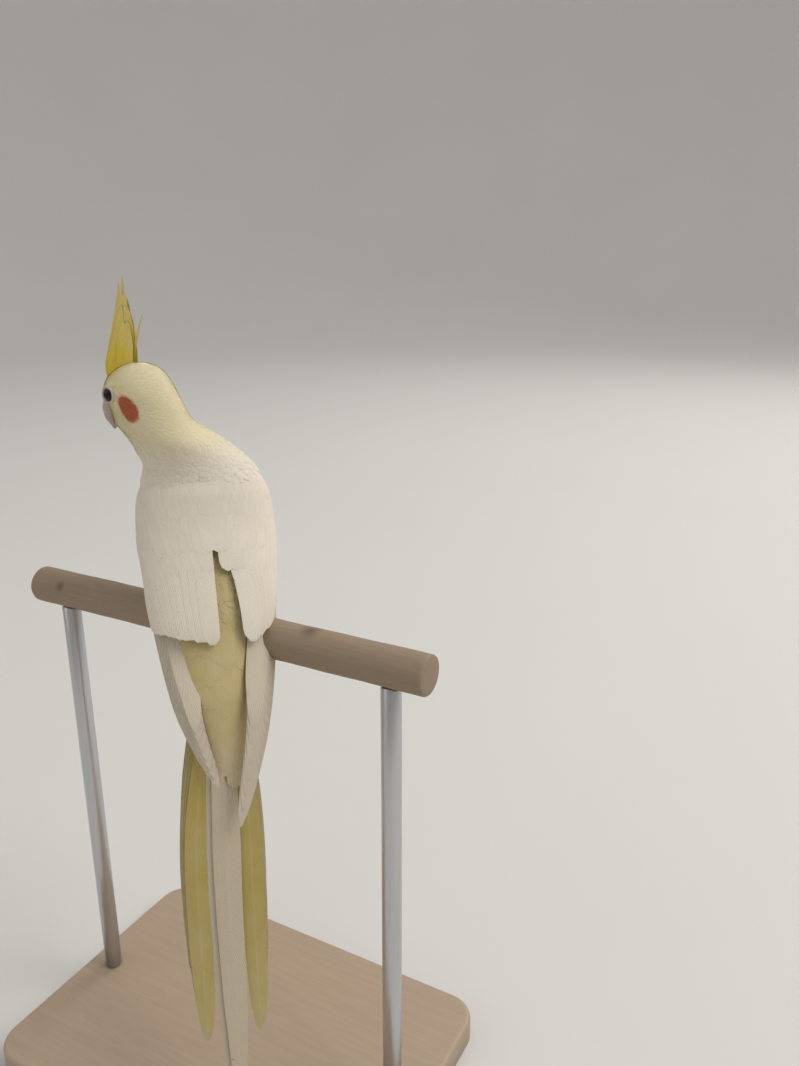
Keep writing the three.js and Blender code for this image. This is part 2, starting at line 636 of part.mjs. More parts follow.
function place(group, name, whole, colour, roughness = 0.8, metalness = 0) {
  const matrix = group === bird ? birdToPart : lifted;
  const geometry = toGeometry(largest(solid(toGeometry(whole).applyMatrix4(matrix))));
  geometry.computeVertexNormals();
  const mesh = new THREE.Mesh(geometry, new THREE.MeshStandardMaterial({ color: colour, roughness, metalness }));
  mesh.name = name;
  group.add(mesh);
}

place(bird, 'torso', torso, COLOURS.white);
place(bird, 'neck', neck, COLOURS.cream);
place(bird, 'head', head, COLOURS.cream);
place(bird, 'eye_left', eyes.left, COLOURS.eye, 0.1);
place(bird, 'eye_right', eyes.right, COLOURS.eye, 0.1);
place(bird, 'bill_upper', billUpper, COLOURS.horn, 0.4);
place(bird, 'bill_lower', billLower, COLOURS.horn, 0.4);
place(bird, 'crest', crest, COLOURS.yellow);
place(bird, 'wing_left', wings.left, COLOURS.white);
place(bird, 'wing_right', wings.right, COLOURS.white);
place(bird, 'tail', tailSolid, COLOURS.ochre);
place(bird, 'leg_left', legs.left.thigh, COLOURS.cream);
place(bird, 'leg_right', legs.right.thigh, COLOURS.cream);
place(bird, 'foot_left', legs.left.foot, COLOURS.foot, 0.6);
place(bird, 'foot_right', legs.right.foot, COLOURS.foot, 0.6);
place(stand, 'perch', perchSolid(), COLOURS.dowel, 0.7);
place(stand, 'stand_rod_left', rodSolid(-1), COLOURS.steel, 0.35, 1);
place(stand, 'stand_rod_right', rodSolid(1), COLOURS.steel, 0.35, 1);
place(stand, 'stand_base', baseSolid(), COLOURS.base, 0.5);

const part = new THREE.Group();
part.add(bird, stand);

export default part;
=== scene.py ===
"""The looks of a life-size cockatiel on a cut dowel and a plain stand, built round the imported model."""
import math

import bpy
import numpy as np
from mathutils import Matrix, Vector
from mathutils.bvhtree import BVHTree


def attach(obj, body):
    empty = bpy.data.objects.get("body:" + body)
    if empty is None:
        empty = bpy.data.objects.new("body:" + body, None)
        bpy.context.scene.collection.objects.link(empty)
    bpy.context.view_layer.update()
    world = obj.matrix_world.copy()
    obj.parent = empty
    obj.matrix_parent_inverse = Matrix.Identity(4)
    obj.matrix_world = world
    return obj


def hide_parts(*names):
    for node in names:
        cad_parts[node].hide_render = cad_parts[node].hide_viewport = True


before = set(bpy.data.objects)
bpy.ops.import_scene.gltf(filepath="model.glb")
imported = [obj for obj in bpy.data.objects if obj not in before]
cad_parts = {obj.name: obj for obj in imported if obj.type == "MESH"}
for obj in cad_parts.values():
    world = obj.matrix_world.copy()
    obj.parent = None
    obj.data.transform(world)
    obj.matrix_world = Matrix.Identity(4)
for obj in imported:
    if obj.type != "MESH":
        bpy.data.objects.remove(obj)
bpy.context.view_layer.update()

# Driving sizes of the stand, the dowel and the feet, in millimetres.
MM = 0.001
GAP = 0.3
HEADING = math.radians(44)
PERCH = {"radius": 7.9, "half": 98.0, "height": 219.0}
ROD = {"radius": 4.0, "x": 82.0}
BASE = {"length": 190.0, "depth": 130.0, "thick": 12.0, "corner": 14.0}
FOOT = {"spread": 9.5, "toe": 1.5, "tip": 1.0, "pad": 2.6, "tarsus": 1.7, "top": 21}

# The bird's own frame has x to its right, y to its front and z up from the dowel's axis, in millimetres.
# Each ring of the body is its centre, lean, turn, and half sizes to the side, front and back.
BODY_RINGS = np.array([
    [-2.0, -29, -27, 10, 0, 5.5, 3.5, 3.5],
    [-1.5, -26, -13, 16, 0, 9.5, 6.5, 5.5],
    [-1.0, -21.5, 1, 26, 0, 14, 6.5, 8],
    [-0.5, -14.5, 13, 35, 0, 18.5, 6.5, 11],
    [0, -6, 23, 38, 0, 22.6, 11, 13.5],
    [0, 2, 31, 36, 0, 24.6, 19.5, 16.5],
    [0, 8.5, 40, 30, 0, 25, 27.5, 18.5],
    [0, 12.5, 49, 22, 0, 23.8, 28.5, 18.8],
    [-0.2, 14, 57, 12, 0, 22, 26, 18],
    [-1.4, 13.5, 64, 5, 4, 21, 22, 16.8],
    [-5.4, 12, 70, 2, 12, 19.6, 19.5, 15.6],
    [-10.4, 10.5, 76, 0, 24, 17, 17.6, 15.8],
    [-16.2, 9.5, 82, 0, 38, 14.6, 15.8, 15.2],
    [-18.8, 9, 88, 0, 47, 13.2, 14.8, 15.0],
    [-20.8, 9, 94, 0, 51, 12.8, 14.4, 14.2],
    [-21.2, 9, 99, 0, 51, 11, 12.4, 12],
    [-21.0, 8.8, 102.8, 0, 51, 7.4, 8, 8.4],
    [-20.8, 8.6, 104.6, 0, 51, 3, 3.4, 3.6],
])
WING_RINGS = np.array([
    [-3, -42, -70, 6, 0, 9, 2, 2.5],
    [-2.5, -37.5, -42, 8, 0, 15.5, 3, 4],
    [-1.8, -30, -16, 14, 0, 20, 8, 8.5],
    [-1.4, -22.5, 2, 25, 0, 24, 12, 13],
    [-0.6, -13.5, 15, 34, 0, 26.6, 14, 15],
    [0, -5, 25, 37, 0, 27.4, 19, 17],
    [0, 4, 34, 34, 0, 28, 25, 19.5],
    [0, 10, 43, 28, 0, 27.5, 29, 21],
    [0, 13, 52, 18, 0, 26.2, 29, 20.5],
    [-0.2, 14, 59, 10, 0, 23.6, 26, 19],
    [-0.8, 14, 65, 5, 0, 21, 21, 16.5],
])
TOP = len(BODY_RINGS) - 1.0

HEAD_AT = np.array([-20.4, 9.0, 90.0])
HEAD_TURN = math.radians(51)
HEAD_AXES = np.array([
    [-math.sin(HEAD_TURN), math.cos(HEAD_TURN), 0],
    [-math.cos(HEAD_TURN), -math.sin(HEAD_TURN), 0],
    [0, 0, 1],
])
EYE = {"forward": 5.6, "side": 10.6, "up": 3.8, "radius": 2.8, "lid": 0.62, "ring": 2.85}

# The bird's left has negative x, and positive places on the second axis of the head's frame.
SIDES = {-1: "left", 1: "right"}
HEAD_SIDES = {1: "left", -1: "right"}


def between(values, position):
    """Smooth values between the rings of a table."""
    values = np.asarray(values, float)
    position = np.asarray(position, float)
    last = len(values) - 1
    k = np.clip(np.floor(position).astype(int), 0, last - 1)
    t = position - k
    a, b, c, d = (values[np.clip(k + step, 0, last)] for step in (-1, 0, 1, 2))
    slope_in = (c - a) / 2
    slope_out = (d - b) / 2
    t2 = t * t
    t3 = t2 * t
    return ((2 * t3 - 3 * t2 + 1) * b + (t3 - 2 * t2 + t) * slope_in
            + (3 * t2 - 2 * t3) * c + (t3 - t2) * slope_out)


def on_ring(table, position, angle, grow=0.0):
    """Points of a ring table: angle 0 is the bird's right, 90 its front and 270 its back, in degrees."""
    x, y, z, lean, turn, side, front, back = (between(table[:, i], position) for i in range(8))
    lean, turn = np.radians(lean), np.radians(turn)
    angle = np.radians(angle)
    across = np.cos(angle) * (side + grow)
    along = np.sin(angle) * (np.where(np.sin(angle) > 0, front, back) + grow)
    turned = across * np.cos(turn) - along * np.sin(turn)
    ahead = across * np.sin(turn) + along * np.cos(turn)
    return np.stack([x + turned, y + ahead * np.cos(lean), z - ahead * np.sin(lean)], -1)


def smoothstep(low, high, value):
    t = np.clip((np.asarray(value, float) - low) / (high - low), 0, 1)
    return t * t * (3 - 2 * t)


def unit(vectors):
    return vectors / np.maximum(np.linalg.norm(vectors, axis=-1, keepdims=True), 1e-9)


def circle(sides):
    """Evenly spaced angles round a full turn."""
    return np.linspace(0, 2 * np.pi, sides, endpoint=False)


def hump(distance, width):
    """A bell that is 1 at no distance."""
    return np.exp(-(distance / width) ** 2)


def part_way(share, ends):
    """The value at a share of the way between two ends."""
    return np.interp(share, [0, 1], ends)


def joined(*parts):
    """Coordinates of any shapes, joined into points."""
    return np.stack(np.broadcast_arrays(*parts), -1)


def spin(x, y, angle):
    """Level coordinates, turned about the vertical."""
    cos, sin = math.cos(angle), math.sin(angle)
    return x * cos - y * sin, x * sin + y * cos


def ball_parts(rows, sides, start):
    """A unit ball's places along its axis and across it, in rings from pole to pole."""
    polar = np.linspace(start, np.pi - start, rows)[:, None]
    angle = circle(sides)[None]
    return np.broadcast_arrays(np.cos(polar), np.sin(polar) * np.cos(angle), np.sin(polar) * np.sin(angle))


def in_head(points):
    """Head-frame places, forward, left and up, as places in the bird's frame."""
    return HEAD_AT + np.asarray(points, float) @ HEAD_AXES


def to_head(points):
    return (np.asarray(points, float) - HEAD_AT) @ HEAD_AXES.T


def eye_place(side, ahead=0.0, out=0.0):
    """The middle of an eye in the head's frame, or a place ahead of it or further out."""
    return np.array([EYE["forward"] + ahead, side * (EYE["side"] + out), EYE["up"]])


def bird_to_part(points):
    """Millimetres in the bird's frame to metres in the model's frame."""
    x, y, z = np.moveaxis(np.asarray(points, float), -1, 0)
    return np.stack([*spin(x, y, HEADING), z + PERCH["height"]], -1) * MM


def perch_to_part(points):
    return (np.asarray(points, float) + np.array([0, 0, PERCH["height"]])) * MM


# Meshes

def wall_quads(index):
    """Quads between neighbouring rings of vertex numbers, whose last two axes are rings and sides."""
    here, there = index[..., :-1, :], index[..., 1:, :]
    return np.stack([here, np.roll(here, -1, -1), np.roll(there, -1, -1), there], -1).reshape(-1, 4)


def uv_grid(across, along):
    return np.stack(np.meshgrid(across, along), -1)


def mesh_object(name, points, quads=(), triangles=(), frame_change=bird_to_part, normals=None):
    quads = np.asarray(quads, np.int32).reshape(-1, 4)
    triangles = np.asarray(triangles, np.int32).reshape(-1, 3)
    mesh = bpy.data.meshes.new(name)
    placed = frame_change(points).astype(np.float32)
    mesh.vertices.add(len(placed))
    mesh.vertices.foreach_set("co", placed.ravel())
    mesh.loops.add(quads.size + triangles.size)
    mesh.loops.foreach_set("vertex_index", np.concatenate([quads.ravel(), triangles.ravel()]))
    starts = np.concatenate([np.arange(len(quads)) * 4, quads.size + np.arange(len(triangles)) * 3])
    mesh.polygons.add(len(starts))
    mesh.polygons.foreach_set("loop_start", starts.astype(np.int32))
    mesh.polygons.foreach_set("use_smooth", np.ones(len(starts), bool))
    mesh.update(calc_edges=True)
    mesh.validate()
    if normals is not None:
        turned = unit(frame_change(normals) - frame_change(np.zeros(3)))
        mesh.normals_split_custom_set_from_vertices(turned.tolist())
    obj = bpy.data.objects.new(name, mesh)
    bpy.context.scene.collection.objects.link(obj)
    return obj


def set_attribute(obj, name, values):
    attribute = obj.data.attributes.new(name, "FLOAT", "POINT")
    attribute.data.foreach_set("value", np.asarray(values, np.float32).ravel())


def set_uv(obj, per_vertex):
    layer = obj.data.uv_layers.new(name="OFBake")
    corners = np.empty(len(obj.data.loops), np.int32)
    obj.data.loops.foreach_get("vertex_index", corners)
    layer.data.foreach_set("uv", np.asarray(per_vertex, np.float32)[corners].ravel())


class Builder:
    """Collects closed lofts into one mesh."""

    def __init__(self):
        self.points, self.quads, self.triangles, self.uvs, self.normals = [], [], [], [], []
        self.marks = {}
        self.count = 0

    def loft(self, rings, uv=None, normals=None, **marks):
        """Rings, shaped (rings, sides, 3), closed round and capped at both ends, with marks on each point."""
        rows, sides = rings.shape[:2]
        index = self.count + np.arange(rows * sides).reshape(rows, sides)
        start, end = self.count + rows * sides, self.count + rows * sides + 1
        low = np.stack([np.full(sides, start), np.roll(index[0], -1), index[0]], -1)
        high = np.stack([np.full(sides, end), index[-1], np.roll(index[-1], -1)], -1)
        self.count += rows * sides + 2
        self.points += [rings.reshape(-1, 3), np.stack([rings[0].mean(0), rings[-1].mean(0)])]
        self.quads.append(wall_quads(index))
        self.triangles += [low, high]
        if normals is not None:
            self.normals += [normals.reshape(-1, 3), normals[[0, -1], sides // 4]]
        if uv is None:
            uv = uv_grid(np.arange(sides) / sides, np.arange(rows) / (rows - 1))
        self.uvs += [uv.reshape(-1, 2), np.stack([uv[0].mean(0), uv[-1].mean(0)])]
        for key, value in marks.items():
            value = np.broadcast_to(np.asarray(value, float), (rows, sides))
            ends = [value[0].mean(), value[-1].mean()]
            self.marks.setdefault(key, []).append(np.append(value.ravel(), ends))

    def make(self, name, frame_change=bird_to_part):
        normals = np.concatenate(self.normals) if self.normals else None
        obj = mesh_object(name, np.concatenate(self.points), np.concatenate(self.quads),
                          np.concatenate(self.triangles), frame_change, normals)
        set_uv(obj, np.concatenate(self.uvs))
        for key, values in self.marks.items():
            set_attribute(obj, key, np.concatenate(values))
        return obj


def curve_points(points, count):
    """Evenly spaced points on a smooth line through the given ones."""
    points = np.asarray(points, float)
    fine = np.linspace(0, len(points) - 1, 200)
    line = np.stack([between(points[:, i], fine) for i in range(3)], -1)
    length = np.concatenate([[0], np.cumsum(np.linalg.norm(np.diff(line, axis=0), axis=1))])
    wanted = np.linspace(0, length[-1], count)
    return np.stack([np.interp(wanted, length, line[:, i]) for i in range(3)], -1)


def along_line(line, t):
    """Places at shares t of the way along evenly spaced points."""
    shares = np.linspace(0, 1, len(line))
    return np.stack([np.interp(t, shares, line[:, i]) for i in range(3)], -1)


def tube_rings(line, wide, deep, wide_axis, sides):
    """Oval rings round a line, wide along one axis and deep along the other."""
    along = unit(np.gradient(line, axis=0))
    wide_axis = np.broadcast_to(np.asarray(wide_axis, float), line.shape)
    deep_axis = unit(np.cross(along, wide_axis))
    wide_axis = unit(np.cross(deep_axis, along))
    angle = circle(sides)[None, :, None]
    wide = np.broadcast_to(wide, len(line))[:, None, None]
    deep = np.broadcast_to(deep, len(line))[:, None, None]
    return (line[:, None] + np.cos(angle) * wide * wide_axis[:, None]
            + np.sin(angle) * deep * deep_axis[:, None])


# Markings, as functions of the place on the bird

# The cheek patch in the head's frame: its middle, its slant, its half sizes and its soft edge.
CHEEK = {"at": (-2.9, 12.0, -0.9), "slant": 0.25, "size": (3.9, 7.0, 5.2), "edge": (0.82, 1.12)}
YELLOW_ON = {"neck": 0.3, "face": 0.12, "crown": 0.6, "vent": 0.2}
# The rump's ochre is partly its yellow and partly painted shade from the wings that close over it.
OCHRE_AND_SHADE_ON = {"rump": 0.76}


def markings(points):
    """How yellow, orange and ochre the plumage is at places in the bird's frame. The rump's ochre is partly
    its own colour and partly painted shade from the wings over it.
    """
    forward, side, up = np.moveaxis(to_head(points), -1, 0)
    side = np.abs(side)
    y, z = points[..., 1], points[..., 2]
    middle, size = CHEEK["at"], CHEEK["size"]
    reach = np.sqrt(((forward - middle[0] - CHEEK["slant"] * up) / size[0]) ** 2
                    + ((side - middle[1]) / size[1]) ** 2 + ((up - middle[2]) / size[2]) ** 2)
    crown = smoothstep(-1, 9, forward) * smoothstep(7, 13, up) * smoothstep(11, 5, side)
    face = smoothstep(-4, 8, forward) * smoothstep(-16, -4, up)
    yellow = (YELLOW_ON["neck"] * smoothstep(62, 82, z) + YELLOW_ON["face"] * face
              + YELLOW_ON["crown"] * crown + YELLOW_ON["vent"] * smoothstep(6, -12, z))
    return {"yellow": np.clip(yellow, 0, 1), "orange": 1 - smoothstep(*CHEEK["edge"], reach),
            "ochre": OCHRE_AND_SHADE_ON["rump"] * smoothstep(42, 34, z) * smoothstep(-6, -11, y)}


# The skin, one surface for all the flesh, lies inside the solids by the coat's depth

SKIN = {"steps": 170, "sides": 112, "inset": 0.85, "thinner": 0.35, "wing": 2.3}
THIGH = {"rows": 22, "sides": 36, "radius": [2.8, 4.6, 6.4, 7.4, 7, 3], "inset": 0.5, "foot": 0.97}
THIGH_MAP = {"wide": 0.45, "right": 0.5, "from": 0.93, "deep": 0.06}

# A place on the body lies this much further along in the table of the wings' rings.
WING_AHEAD = 0.7

# The folded wing's front and back edges round the body, in degrees, at two places along the wings' rings.
FOLDED = {"level": [4, 9], "front": [178, 140], "back": [266, 246]}


def wing_weight(position, angle):
    """1 where the folded wing lies under the coat, on either side, and 0 where the body does."""
    left = np.where(np.cos(np.radians(angle)) < 0, angle, (180 - angle) % 360)
    level = position + WING_AHEAD
    front, back = (np.interp(level, FOLDED["level"], FOLDED[edge]) for edge in ("front", "back"))
    inside = smoothstep(-4, 16, left - front) * (1 - 0.3 * smoothstep(-14, 10, left - back))
    return inside * smoothstep(5.2, 6.6, level) * (1 - smoothstep(8.6, 10.2, level))


def skin_point(position, angle):
    inset = SKIN["inset"] * (1 - SKIN["thinner"] * smoothstep(10, 13, position))
    return on_ring(BODY_RINGS, position, angle, SKIN["wing"] * wing_weight(position, angle) - inset)


def skin_uv(position, angle):
    return joined((angle % 360) / 360 * 0.98 + 0.01, position / TOP * 0.9 + 0.01)


def thigh_line(side):
    """The middle of a thigh, from over the foot up into the belly."""
    foot = np.array([math.cos(HEADING), -math.sin(HEADING), 0]) * side * FOOT["spread"] * THIGH["foot"]
    low = foot + [side, 1, 12.5]
    high = foot + [side * 4, 9, 27]
    return curve_points([low, (low + high) / 2, high], THIGH["rows"])


def thigh_rings(side):
    steps = np.linspace(0, len(THIGH["radius"]) - 1, THIGH["rows"])
    radius = between(THIGH["radius"], steps) - THIGH["inset"]
    return tube_rings(thigh_line(side), radius, radius, [1, 0, 0], THIGH["sides"])


def build_skin():
    built = Builder()
    position, angle = np.meshgrid(np.linspace(0, TOP, SKIN["steps"]),
                                  np.linspace(0, 360, SKIN["sides"], endpoint=False), indexing="ij")
    rings = skin_point(position, angle)
    built.loft(rings, skin_uv(position, angle), **markings(rings))
    for side in (-1, 1):
        rings = thigh_rings(side)
        across = np.linspace(0, THIGH_MAP["wide"], THIGH["sides"]) + THIGH_MAP["right"] * (side > 0)
        along = np.linspace(THIGH_MAP["from"], THIGH_MAP["from"] + THIGH_MAP["deep"], THIGH["rows"])
        built.loft(rings, uv_grid(across, along), **markings(rings))
    return built.make("skin")


# Bill, cere, lids and eyes

BILL = {
    "upper": {"line": [[7, 0.6], [11.6, 0.4], [14.6, -2.2], [15.4, -6.4], [14.2, -11.4]],
              "side": [4.3, 4.2, 3.7, 2.6, 0.5], "deep": [4.4, 4.3, 3.4, 2.3, 0.5]},
    "lower": {"line": [[6.5, -6.6], [10.2, -7.8], [12.2, -9.8]],
              "side": [3.6, 3.3, 2.2], "deep": [3, 2.5, 1.2]},
}
HORN = {"rows": 44, "sides": 48, "ridge": 0.16, "ridge_wide": 0.9, "layer": 0.05, "layer_share": 0.35}
CERE = {"at": [13.1, 0, 2.6], "size": [2.0, 3.7, 1.8]}
# Nostrils: their place, the pit's place and depth, the rim, and the place and size of the dark mark painted
# in as the shade of each opening.
NOSTRIL = {"side": 1.7, "up": 0.7, "pit_ahead": 1.5, "deep": 0.8, "rim": 0.22,
           "mark_ahead": 1.1, "mark": 0.62}


def build_bill(half):
    shape = BILL[half]
    line = curve_points([[forward, 0, up] for forward, up in shape["line"]], HORN["rows"])
    t = np.linspace(0, 1, HORN["rows"])
    wide, deep = (between(shape[key], t * (len(shape[key]) - 1)) for key in ("side", "deep"))
    rings = tube_rings(line, wide, deep, [0, 1, 0], HORN["sides"])
    outer = rings[..., 0] > line[:, None, 0]
    rings[..., 0] += HORN["ridge"] * hump(rings[..., 1], HORN["ridge_wide"]) * outer
    layers = HORN["layer"] * np.sin(t * 34 + 1.3) * smoothstep(0.1, 0.3, t) * smoothstep(1.0, 0.8, t)
    rings += (rings - line[:, None]) * layers[:, None, None] * HORN["layer_share"]
    built = Builder()
    built.loft(in_head(rings), along=t[:, None])
    return built.make("bill_" + half + "_horn")


def from_nostril(points, side, ahead):
    place = np.array(CERE["at"]) + [ahead, side * NOSTRIL["side"], NOSTRIL["up"]]
    return np.linalg.norm(points - place, axis=-1)


def build_cere():
    """The swelling over the bill, with a rim round each nostril and a dark mark of painted shade in its
    opening.
    """
    points = CERE["at"] + np.stack(ball_parts(28, 40, 0.04), -1) * CERE["size"]
    for side in (-1, 1):
        distance = from_nostril(points, side, NOSTRIL["pit_ahead"])
        points[..., 0] -= NOSTRIL["deep"] * hump(distance, 0.5)
        points[..., 0] += NOSTRIL["rim"] * hump(distance - 0.95, 0.35)
    points[..., 2] += 0.25 * hump(points[..., 1], 0.8) - 0.2
    # A dark mark of painted shade sits in each nostril's opening.
    nearest = np.minimum(*(from_nostril(points, side, NOSTRIL["mark_ahead"]) for side in (-1, 1)))
    built = Builder()
    built.loft(in_head(points), hole=hump(nearest, NOSTRIL["mark"]))
    return built.make("cere")


def build_eye(side):
    """An eyeball whose clear front is a low dome, marked with the angle from its middle."""
    out, level, upright = ball_parts(40, 48, 0.02)
    shape = np.stack([level, side * out, upright], -1)
    radius = EYE["radius"] - 0.06 + 0.12 * smoothstep(0.75, 1, out)
    points = eye_place(side) + shape * radius[..., None]
    if side > 0:
        points = points[:, ::-1]
    built = Builder()
    built.loft(in_head(points), away=np.arccos(np.clip(out, -1, 1)))
    return built.make("eye_ball_" + HEAD_SIDES[side])


LID = {"rows": 120, "sides": 16, "tilt": math.radians(14), "deep": 1.05, "stretch": 0.07}


def build_lids(side):
    """The bare ring round the eye, in fine scaly folds."""
    rows, sides = LID["rows"], LID["sides"]
    turn = circle(rows)[:, None]
    angle = circle(sides)[None]
    folds = 0.05 * np.sin(turn * 34) * np.cos(angle * 2) + 0.03 * np.sin(turn * 55 + 2)
    tube = EYE["lid"] * (0.92 + folds) * np.where(np.cos(angle) < 0, 0.95, 1.15)
    ring = EYE["ring"] + tube * np.cos(angle)
    forward = ring * np.cos(turn)
    out = tube * np.sin(angle) * LID["deep"] * side
    up = ring * np.sin(turn) * (1 + LID["stretch"] * np.cos(2 * turn))
    points = np.stack([*spin(forward, out, -side * LID["tilt"]), up], -1) + eye_place(side, 0.3, 0.95)
    index = np.arange(rows * sides).reshape(rows, sides)
    quads = wall_quads(np.concatenate([index, index[:1]]))
    if side > 0:
        quads = quads[:, ::-1]
    obj = mesh_object("eye_ring_" + HEAD_SIDES[side], in_head(points.reshape(-1, 3)), quads)
    set_uv(obj, uv_grid(np.arange(sides) / sides, np.arange(rows) / rows).reshape(-1, 2))
    return obj


# Small feathers, each a thin closed leaf laid along the skin

# A small feather's faces are shaded with the plumage they lie in, and rounded only this much on their own.
SHADE_ROUND = 0.2
LEAF_T = np.array([0, 0.3, 0.62, 0.86, 1.0])
LEAF_W = np.array([0.45, 0.88, 1.0, 0.78, 0.22])

# Places across a leaf's top, the ones that its underside uses, how deep that lies, and the faces of an end.
CROSS = np.array([-1, -0.55, 0, 0.55, 1])
UNDER = [4, 2, 0]
UNDER_DEPTH = np.array([0.3, 1.6, 0.3])
LEAF_ROUND = CROSS[[0, 1, 2, 3, 4] + UNDER]
LEAF_END = [[0, 1, 7], [1, 6, 7], [1, 2, 6], [2, 3, 6], [3, 5, 6], [3, 4, 5]]

# How each leaf differs from the coat's table, and its root's depth, arch, thickness and patch on the map.
LEAF = {"length": (0.86, 1.14), "half": (0.9, 1.12), "tip": (0.85, 1.12), "bend": (-0.09, 0.09),
        "stray": 0.05, "root": -0.2, "arch": 0.05, "thick": 0.07, "thick_share": 0.06, "upright": 1.2,
        "patch": 0.0015}

# Along the body's rings: length, half width, spacing and height of the tip over the skin.
COAT_AT = [0, 1.5, 4, 6, 9, 11, 12.5, 17]
COAT = {
    "length": [8, 8.5, 8.8, 8.6, 7.6, 5.6, 4.2, 3.8],
    "half": [2.1, 2.2, 2.2, 2.1, 1.8, 1.2, 0.8, 0.7],
    "spacing": [1.6, 1.5, 1.45, 1.4, 1.2, 0.9, 0.72, 0.7],
    "tip": [0.6, 0.6, 0.6, 0.55, 0.5, 0.34, 0.24, 0.2],
}
BILL_ROOT = in_head([12.0, 0, 0.5])

# Pieces of the coat: the ring positions where each starts and ends, how many roots are tried, and its seed.
COAT_PIECES = [
    ("coat_rump", 0.7, 4.2, 14000, 3),
    ("coat_body", 4.2, 7.2, 18000, 4),
    ("coat_shoulders", 7.2, 10.2, 20000, 5),
    ("coat_neck", 10.2, 12.4, 22000, 6),
    ("coat_head", 12.4, TOP, 30000, 7),
]


def coat_values(position, points):
    face = np.linalg.norm(points - BILL_ROOT, axis=-1)
    small = np.interp(face, [3, 10, 22], [0.42, 0.62, 1])
    values = {key: np.interp(position, COAT_AT, table) for key, table in COAT.items()}
    for key, share in (("length", 1), ("half", 0.7), ("spacing", 0.6), ("tip", 0.5)):
        values[key] = values[key] * (1 - share * (1 - small))
    return values


def spread_out(points, spacing):
    """The numbers of the points that keep their own spacing from every point kept before them."""
    keys = np.floor(points / float(spacing.max())).astype(int).tolist()
    around = [(i, j, k) for i in (-1, 0, 1) for j in (-1, 0, 1) for k in (-1, 0, 1)]
    cells = {}
    kept = []
    for n, ((a, b, c), (x, y, z), space) in enumerate(zip(keys, points.tolist(), (spacing ** 2).tolist())):
        near = [place for i, j, k in around for place in cells.get((a + i, b + j, c + k), ())]
        if all((px - x) ** 2 + (py - y) ** 2 + (pz - z) ** 2 >= space for px, py, pz in near):
            cells.setdefault((a, b, c), []).append((x, y, z))
            kept.append(n)
    return kept


def scatter(draw, low, high, tries):
    """Roots spread over the skin between two ring positions, no closer than the coat's own spacing."""
    edges = np.linspace(low, high, 161), np.linspace(0, 360, 181)
    middles = [(edge[1:] + edge[:-1]) / 2 for edge in edges]
    corner = skin_point(*np.meshgrid(*edges, indexing="ij"))
    across = corner[:-1, 1:] - corner[:-1, :-1]
    along = corner[1:, :-1] - corner[:-1, :-1]
    area = np.linalg.norm(np.cross(across, along), axis=-1)
    middle_position, middle_angle = np.meshgrid(*middles, indexing="ij")
    spacing = coat_values(middle_position, skin_point(middle_position, middle_angle))["spacing"]
    share = (area / spacing ** 2).ravel()
    chosen = np.unravel_index(draw.choice(share.size, tries, p=share / share.sum()), area.shape)
    position, angle = (edge[cell] + draw.random(tries) * (edge[1] - edge[0])
                       for edge, cell in zip(edges, chosen))
    points = skin_point(position, angle)
    kept = spread_out(points, coat_values(position, points)["spacing"])
    return position[kept], angle[kept]


def along_skin(vectors, normal):
    """Directions laid flat on the skin."""
    return unit(vectors - normal * np.sum(vectors * normal, -1, keepdims=True))


def coat_frame(position, angle):
    """Place, outward normal and lie of the coat at roots on the skin."""
    step = 0.02
    points = skin_point(position, angle)
    below = skin_point(np.maximum(position - step, 0), angle)
    down = below - skin_point(np.minimum(position + step, TOP), angle)
    normal = unit(np.cross(down, skin_point(position, angle + 1) - skin_point(position, angle - 1)))
    centre = np.stack([between(BODY_RINGS[:, i], position) for i in range(3)], -1)
    facing = np.sum(normal * (points - centre), -1)
    normal = np.where(facing[:, None] < 0, -normal, normal)
    share = smoothstep(-26, -12, to_head(points)[:, 2])[:, None]
    lie = unit(unit(down) * (1 - share) + along_skin(points - BILL_ROOT, normal) * share)
    for side in (-1, 1):
        apart = points - in_head(eye_place(side, 0.3, 1))
        push = 1.6 * hump(np.linalg.norm(apart, axis=-1) - 3.6, 1.6)
        lie = unit(lie + push[:, None] * along_skin(apart, normal))
    return points, normal, lie


def on_surface(tree, points):
    """The nearest places on a surface, and the surface's normals there."""
    flat = points.reshape(-1, 3)
    places, normals = np.empty_like(flat), np.empty_like(flat)
    for n, point in enumerate(flat.tolist()):
        places[n], normals[n] = tree.find_nearest(point)[:2]
    return places.reshape(points.shape), normals.reshape(points.shape)


